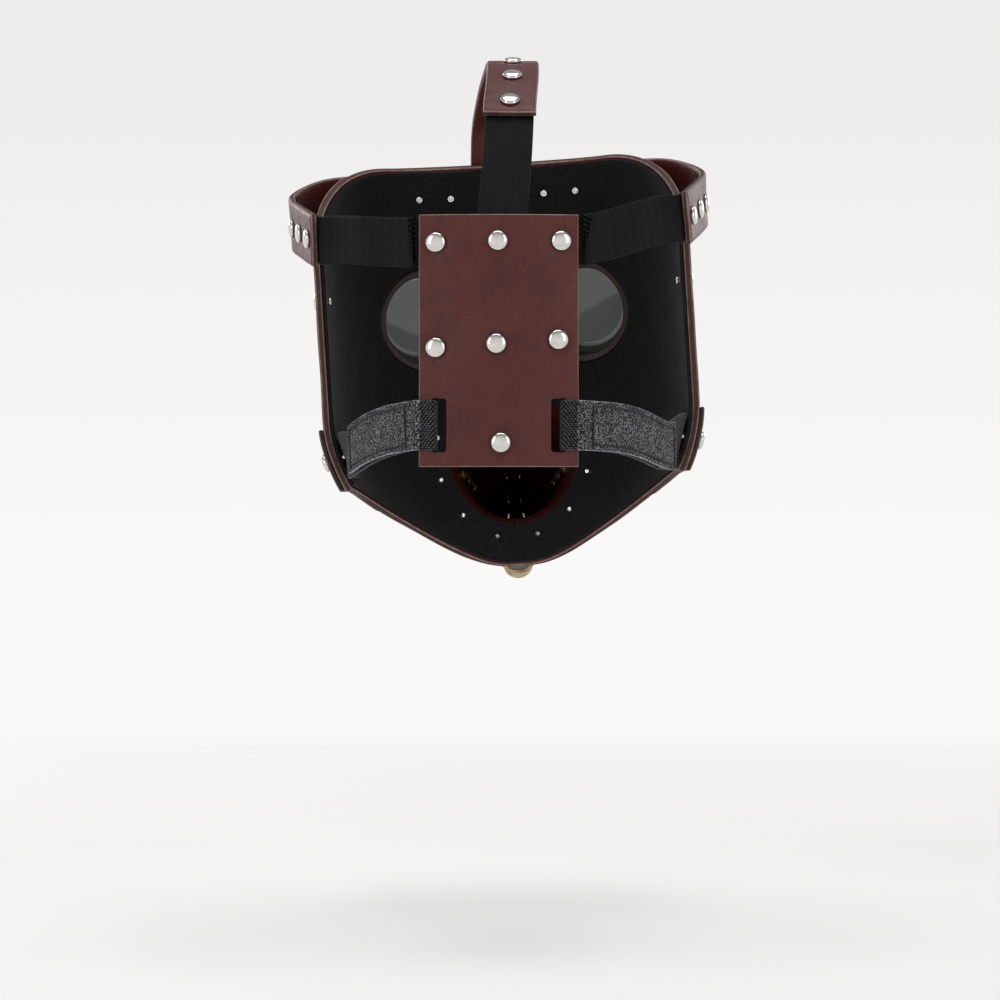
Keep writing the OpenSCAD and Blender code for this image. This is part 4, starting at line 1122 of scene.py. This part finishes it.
screws = []
for side in SIDES.values():
    n = flip(eye_n, side)
    outward = worn(n)
    for k in range(6):
        tilt = math.acos(n[2])
        turn_z = math.atan2(n[1], n[0])
        angle = 2 * math.pi * (k + 0.5) / 6
        x_axis = np.array([math.cos(tilt) * math.cos(turn_z), math.cos(tilt) * math.sin(turn_z), -math.sin(tilt)])
        y_axis = np.array([-math.sin(turn_z), math.cos(turn_z), 0])
        out = x_axis * math.cos(angle) + y_axis * math.sin(angle)
        p = flip(eye_p, side) + out * (FLANGE_R - 2.2) + n * FLANGE_H
        screws.append((worn(p), outward))
head = [(0, -2.2), (0.7, -2.2), (0.7, 0.05), (1.65, 0.05), (1.75, 0.25), (1.7, 0.55), (1.45, 0.85), (1.1, 1.05),
        (0.75, 1.12), (0.7, 0.65), (0, 0.6)]
piece = revolve("goggle_screw_heads", head, screws, NICKEL, 24)
fit(piece, "mask", "goggle_screws")

for label in SIDES:
    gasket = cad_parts[f"lens_gasket_{label}"]
    gasket.data.materials.clear()
    gasket.data.materials.append(RUBBER)

# ---------------------------------------------------------------- leather straps

crown_dimples = dimples([(p + n * STRAP_T / 2, n) for p, n in crown_stands], 0.4)
root_dimples = dimples([(p + n * (LAY + STRAP_T), n) for p, n in root_stands], 0.4)
piece = band("crown_strap_leather", crown_path, STRAP_W, -STRAP_T / 2, STRAP_T / 2, BROWN, 1.2, 18, None,
             both(crown_dimples, root_dimples, waves(16, 0.3, 2.2)))
fit(piece, "mask", "crown_strap")

brow_on_strap = [(p + n * (LAY + STRAP_T), n) for p, n in brow_stands]
for label, side in SIDES.items():
    sunk = dimples([(p + n * STRAP_T / 2, n) for p, n in temple_stands[side]] + brow_on_strap, 0.4)
    piece = band(f"temple_strap_{label}_leather", temple_paths[side], STRAP_W, -STRAP_T / 2, STRAP_T / 2, BROWN,
                 1.2, 18, None, both(sunk, waves(16, 0.3, 7 * side)))
    fit(piece, "mask", f"temple_strap_{label}")


def tab_surface(side):
    def surface(u, v, off):
        return worn(flip(face_at(mix(68.0, 89.0, u), mix(-57.0, -31.0, v), off), side))
    return surface


for label, side in SIDES.items():
    sunk = dimples([(p + n * (LAY + TAB_T), n) for p, n in cheek_stands], 0.35)
    made = slab(tab_surface(side), (28, 28), (34, 26), LAY + 0.9 + TAB_T, LAY + 0.75, 0.8, sunk)
    piece = skin(f"cheek_tab_{label}_leather", made, TRIM)
    fit(piece, "mask", f"cheek_tab_{label}")

# ---------------------------------------------------------------- rear panel


def panel_sheet(name, r_out, r_in, inset, mat, relief, under, round_r):
    """The curved sheet with its two slots, as a grid that bends its own lines round them."""
    width, height = PANEL_W - 2 * inset, PANEL_TOP - PANEL_BOTTOM - 2 * inset

    def surface(u, v, off):
        return panel_pt((u - 0.5) * width, r_out + off, PANEL_BOTTOM + inset + v * height)

    def solid(middle):
        d = np.arctan2(middle[:, 0] - PANEL_X, middle[:, 1] - PANEL_AXIS_Y) * PANEL_R
        across = np.abs(np.abs(d) - SLOT_PLACE) - (SLOT_W / 2 - SLOT_CORNER)
        up = np.abs(middle[:, 2] - SLOT_Z) - (SLOT_H / 2 - SLOT_CORNER)
        far = np.hypot(np.maximum(across, 0), np.maximum(up, 0))
        return (far > SLOT_CORNER) | (np.maximum(across, up) > SLOT_CORNER)

    def to_slot(p):
        x, y = p[:, 0] - PANEL_X, p[:, 1] - PANEL_AXIS_Y
        d, r = np.arctan2(x, y) * PANEL_R, np.hypot(x, y)
        side = np.sign(d)
        q = np.stack([np.abs(d) - SLOT_PLACE, p[:, 2] - SLOT_Z], axis=-1)
        half = np.array([SLOT_W, SLOT_H]) / 2 - SLOT_CORNER
        core = np.clip(q, -half, half)
        q = core + SLOT_CORNER * unit(q - core + 1e-9)
        return panel_pt(side * (q[:, 0] + SLOT_PLACE), r, q[:, 1] + SLOT_Z)

    made = slab(surface, (int(width / 0.45), int(height / 0.45)), (width, height), 0, r_in - r_out, round_r,
                relief, under, False, solid, to_slot)
    return skin(name, made, mat)


piece = panel_sheet("back_panel_leather", PANEL_R, PANEL_R - PANEL_T, 0, BROWN,
                    both(dimples(panel_stands, 0.6, 6), waves(26, 0.45, 4.4)), None, 0.8)
fit(piece, "harness", "back_panel")
piece = panel_sheet("panel_lining_cloth", LINING_R, STACK_R, 0.4, LINING, None, None, 0.35)
fit(piece, "harness", "panel_lining")

# ---------------------------------------------------------------- elastic and webbing


def selvedge(width):
    """Raised edges of a woven band."""
    def relief(here, u, v):
        near = np.minimum(v, 1 - v) * width
        raised = 0.12 * np.exp(-((near - 1.1) / 0.5) ** 2) * ease((1 - u) * 30)
        return raised - 0.05 * np.sin(u * 900)
    return relief


for label, side in SIDES.items():
    piece = band(f"elastic_temple_{label}_band", temple_band(side), ELASTIC_W, UNDER - ELASTIC_T, UNDER, ELASTIC,
                 1.0, 20, 0.5, selvedge(ELASTIC_W))
    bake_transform(piece)
    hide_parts(f"elastic_temple_{label}")
piece = band("elastic_crown_band", crown_band(), ELASTIC_W, UNDER - ELASTIC_T, UNDER, ELASTIC, 1.0, 20, 0.5,
             selvedge(ELASTIC_W))
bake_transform(piece)
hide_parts("elastic_crown")


def box_stitch(path, width, start, end, inset):
    """Two lines along a tail and its two cross seams."""
    half = width / 2 - inset
    p, w, n = path.at(np.linspace(start, end, 60))
    rows = [(p + w * v * half, n) for v in (-1, 1)]
    across = np.linspace(-1, 1, 30)[:, None] * (width / 2 - 0.9)
    seams = []
    for d in (start, end):
        p, w, n = path.at(np.full(30, d))
        seams.append((p + w * across, n))
    return rows, seams


for label, side in SIDES.items():
    piece = band(f"cheek_strap_{label}_webbing", web_path(side), ELASTIC_W, -WEB_T / 2, WEB_T / 2, WEBBING, 0.9, 20,
                 0.6, selvedge(ELASTIC_W))
    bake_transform(piece)
    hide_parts(f"cheek_strap_{label}")

    path = tail_path(side)
    seam_in, seam_out = 9.0, path.length - 3.5

    def tail_relief(here, u, v, path=path, seam_in=seam_in, seam_out=seam_out):
        d = u * path.length
        near = np.minimum(v, 1 - v) * ELASTIC_W
        groove = np.exp(-((d - seam_in) / 0.55) ** 2) + np.exp(-((d - seam_out) / 0.55) ** 2)
        inside = ((d > seam_in) & (d < seam_out)) * np.exp(-((near - 2.3) / 0.5) ** 2)
        raised = 0.12 * np.exp(-((near - 0.8) / 0.5) ** 2) * ease(d / 4)
        return raised - 0.4 * np.clip(groove + inside * 0.7, 0, 1)

    piece = band(f"strap_tail_{label}_webbing", path, ELASTIC_W, -WEB_T / 2, WEB_T / 2, LOOP_WEBBING, 0.6, 34, 0.55,
                 tail_relief)
    fit(piece, f"{label}_tail", f"strap_tail_{label}")
    sunk = lambda lines: [(p + n * (WEB_T / 2 - 0.12), n) for p, n in lines]
    rows, seams = box_stitch(path, ELASTIC_W, seam_in, seam_out, 2.3)
    for name, lines, size in (("row", rows, (2.4, 2.2, 0.4)), ("seam", seams, (1.7, 1.9, 0.6))):
        piece = stitches(f"tail_{name}_stitching_{label}", sunk(lines), BLACK_THREAD, *size)
        fit(piece, f"{label}_tail")

    piece = band(f"hook_pad_{label}_tape", pad_path(side), ELASTIC_W - 3, -HOOK_T / 2, HOOK_T / 2, HOOK, 0.8, 24, 0.4)
    fit(piece, f"{label}_tail", f"hook_pad_{label}")

# ---------------------------------------------------------------- rivets


def rivet_group(name, node, body, groups, mat=NICKEL):
    """One piece of rivets from groups of (stands, grip, small)."""
    verts, faces = [], []
    for stands, grip, small in groups:
        r, h, shank = (SMALL_RIVET_R, SMALL_CAP_H, 1.1) if small else (RIVET_R, CAP_H, 1.5)
        v, f = revolve_mesh(rivet_profile(r, h, grip, shank), stands, 40)
        base = sum(len(x) for x in verts)
        verts.append(v)
        faces += [tuple(base + k for k in face) for face in f]
    obj = make_piece(name, np.concatenate(verts), faces, mat)
    clean(obj)
    fit(obj, body, node)
    return obj


SINK = 0.25
raised = lambda stands, off: [(p + n * (off - SINK), n) for p, n in stands]
strap_grip = STRAP_T + LAY + ELASTIC_T - SINK
rivet_group("crown_rivet_caps", "crown_rivets", "mask", [(raised(crown_stands, STRAP_T / 2), strap_grip, False)])
for label, side in SIDES.items():
    rivet_group(f"temple_rivet_caps_{label}", f"temple_rivets_{label}", "mask",
                [(raised(temple_stands[side], STRAP_T / 2), strap_grip, False)])
rivet_group("brow_rivet_caps", "brow_rivets", "mask",
            [(raised(brow_stands + root_stands, LAY + STRAP_T), LAY + STRAP_T + FACE_STACK - SINK, False)])
rivet_group("cheek_rivet_caps", "cheek_rivets", "mask",
            [(raised(cheek_stands, LAY + 0.9 + TAB_T), LAY + 0.9 + TAB_T + FACE_STACK + CHEEK_DISH + WEB_T, False),
             (raised(ear_stands, 0), FACE_STACK, False)])
rivet_group("beak_rivet_caps", "beak_rivets", "mask",
            [(seam_stands(LAY + STRIP_T - 0.15), LAY + STRIP_T + BEAK_WALL + 0.25, True)])
rivet_group("collar_rivet_caps", "collar_rivets", "mask",
            [(collar_stands(LAY + COLLAR_T - 0.15), LAY + COLLAR_T + FACE_STACK - 0.15, True)])
bare = PANEL_T + 0.05 + PANEL_LINING_T - SINK
held = [s for s, (d, z) in zip(panel_stands, PANEL_RIVETS) if z > 20]
plain = [s for s, (d, z) in zip(panel_stands, PANEL_RIVETS) if z <= 20]
rivet_group("panel_rivet_caps", "panel_rivets", "harness",
            [(raised(held, 0), bare + ELASTIC_T + LAY + 0.4, False), (raised(plain, 0), bare, False)])

# ---------------------------------------------------------------- floor, light and camera

FLOOR_Z = -0.257


def pale_floor():
    """A pale disc that fades into the backdrop at its rim."""
    n = Nodes("pale_floor")
    xyz = n.tree.nodes.new("ShaderNodeSeparateXYZ")
    n.put(xyz.inputs[0], n.place())
    reach = n.math("SQRT", n.math("ADD", n.math("POWER", xyz.outputs[0], 2.0), n.math("POWER", xyz.outputs[1], 2.0)))
    n.finish(Base_Color=n.blend(n.noise(3, 3), (0.86, 0.86, 0.86), (0.9, 0.9, 0.9)), Roughness=0.85,
             Alpha=n.range(reach, 0.5, 1.5, 1.0, 0.0))
    return n.mat


angles = np.linspace(0, 2 * math.pi, 96, endpoint=False)
rings = np.array([0.0001, 0.5, 1.0, 1.6])
verts = np.concatenate([vec(r * np.cos(angles), r * np.sin(angles), FLOOR_Z + 0 * angles) for r in rings]) / MM
faces = [(i * 96 + k, i * 96 + (k + 1) % 96, (i + 1) * 96 + (k + 1) % 96, (i + 1) * 96 + k)
         for i in range(3) for k in range(96)]
floor = make_piece("pale_floor_disc", verts, faces, pale_floor())

world = bpy.data.worlds.new("studio")
bpy.context.scene.world = world
world.use_nodes = True
tree = world.node_tree
height = tree.nodes.new("ShaderNodeSeparateXYZ")
tree.links.new(tree.nodes.new("ShaderNodeTexCoord").outputs["Generated"], height.inputs[0])
share = tree.nodes.new("ShaderNodeMapRange")
share.inputs[1].default_value = -1
tree.links.new(height.outputs[2], share.inputs[0])
sky = tree.nodes.new("ShaderNodeValToRGB")
bar = sky.color_ramp
tones = ((0.0, 0.5), (0.3, 0.9), (0.49, 0.96), (0.56, 0.85), (0.64, 0.82), (0.8, 0.38), (1.0, 0.34))
while len(bar.elements) < len(tones):
    bar.elements.new(0.5)
for element, (at, tone) in zip(bar.elements, tones):
    element.position, element.color = at, (tone, 0.985 * tone, 0.98 * tone, 1)
tree.links.new(share.outputs[0], sky.inputs[0])
tree.links.new(sky.outputs[0], tree.nodes["Background"].inputs[0])
bpy.context.scene.view_settings.view_transform = "Standard"


def softbox(name, place, target, size, power, size_y=None):
    light = bpy.data.lights.new(name, "AREA")
    light.shape = "RECTANGLE"
    light.size, light.size_y, light.energy = size, size_y or size, power
    obj = bpy.data.objects.new(name, light)
    obj.location = place
    obj.rotation_euler = (Vector(target) - Vector(place)).to_track_quat("-Z", "Y").to_euler()
    bpy.context.scene.collection.objects.link(obj)


softbox("rear_left", (1.1, 1.2, 0.5), (0, 0, 0), 0.6, 5, 1.0)
softbox("rear_right", (-1.1, 1.2, 0.45), (0, 0, 0), 0.6, 4, 1.0)
softbox("overhead", (0, 0.1, 1.4), (0, 0, 0), 1.2, 12)
softbox("front_left", (1.0, -1.3, 0.6), (0, -0.1, 0), 0.7, 6)
softbox("front_right", (-1.0, -1.3, 0.5), (0, -0.1, 0), 0.7, 3)

camera_data = bpy.data.cameras.new("camera")
camera_data.lens, camera_data.sensor_width = 135.36, 36
camera = bpy.data.objects.new("camera", camera_data)
camera.location = (0.003, 1.6, -0.066)
camera.rotation_euler = (math.radians(90), 0, math.radians(180))
bpy.context.scene.collection.objects.link(camera)
bpy.context.scene.camera = camera
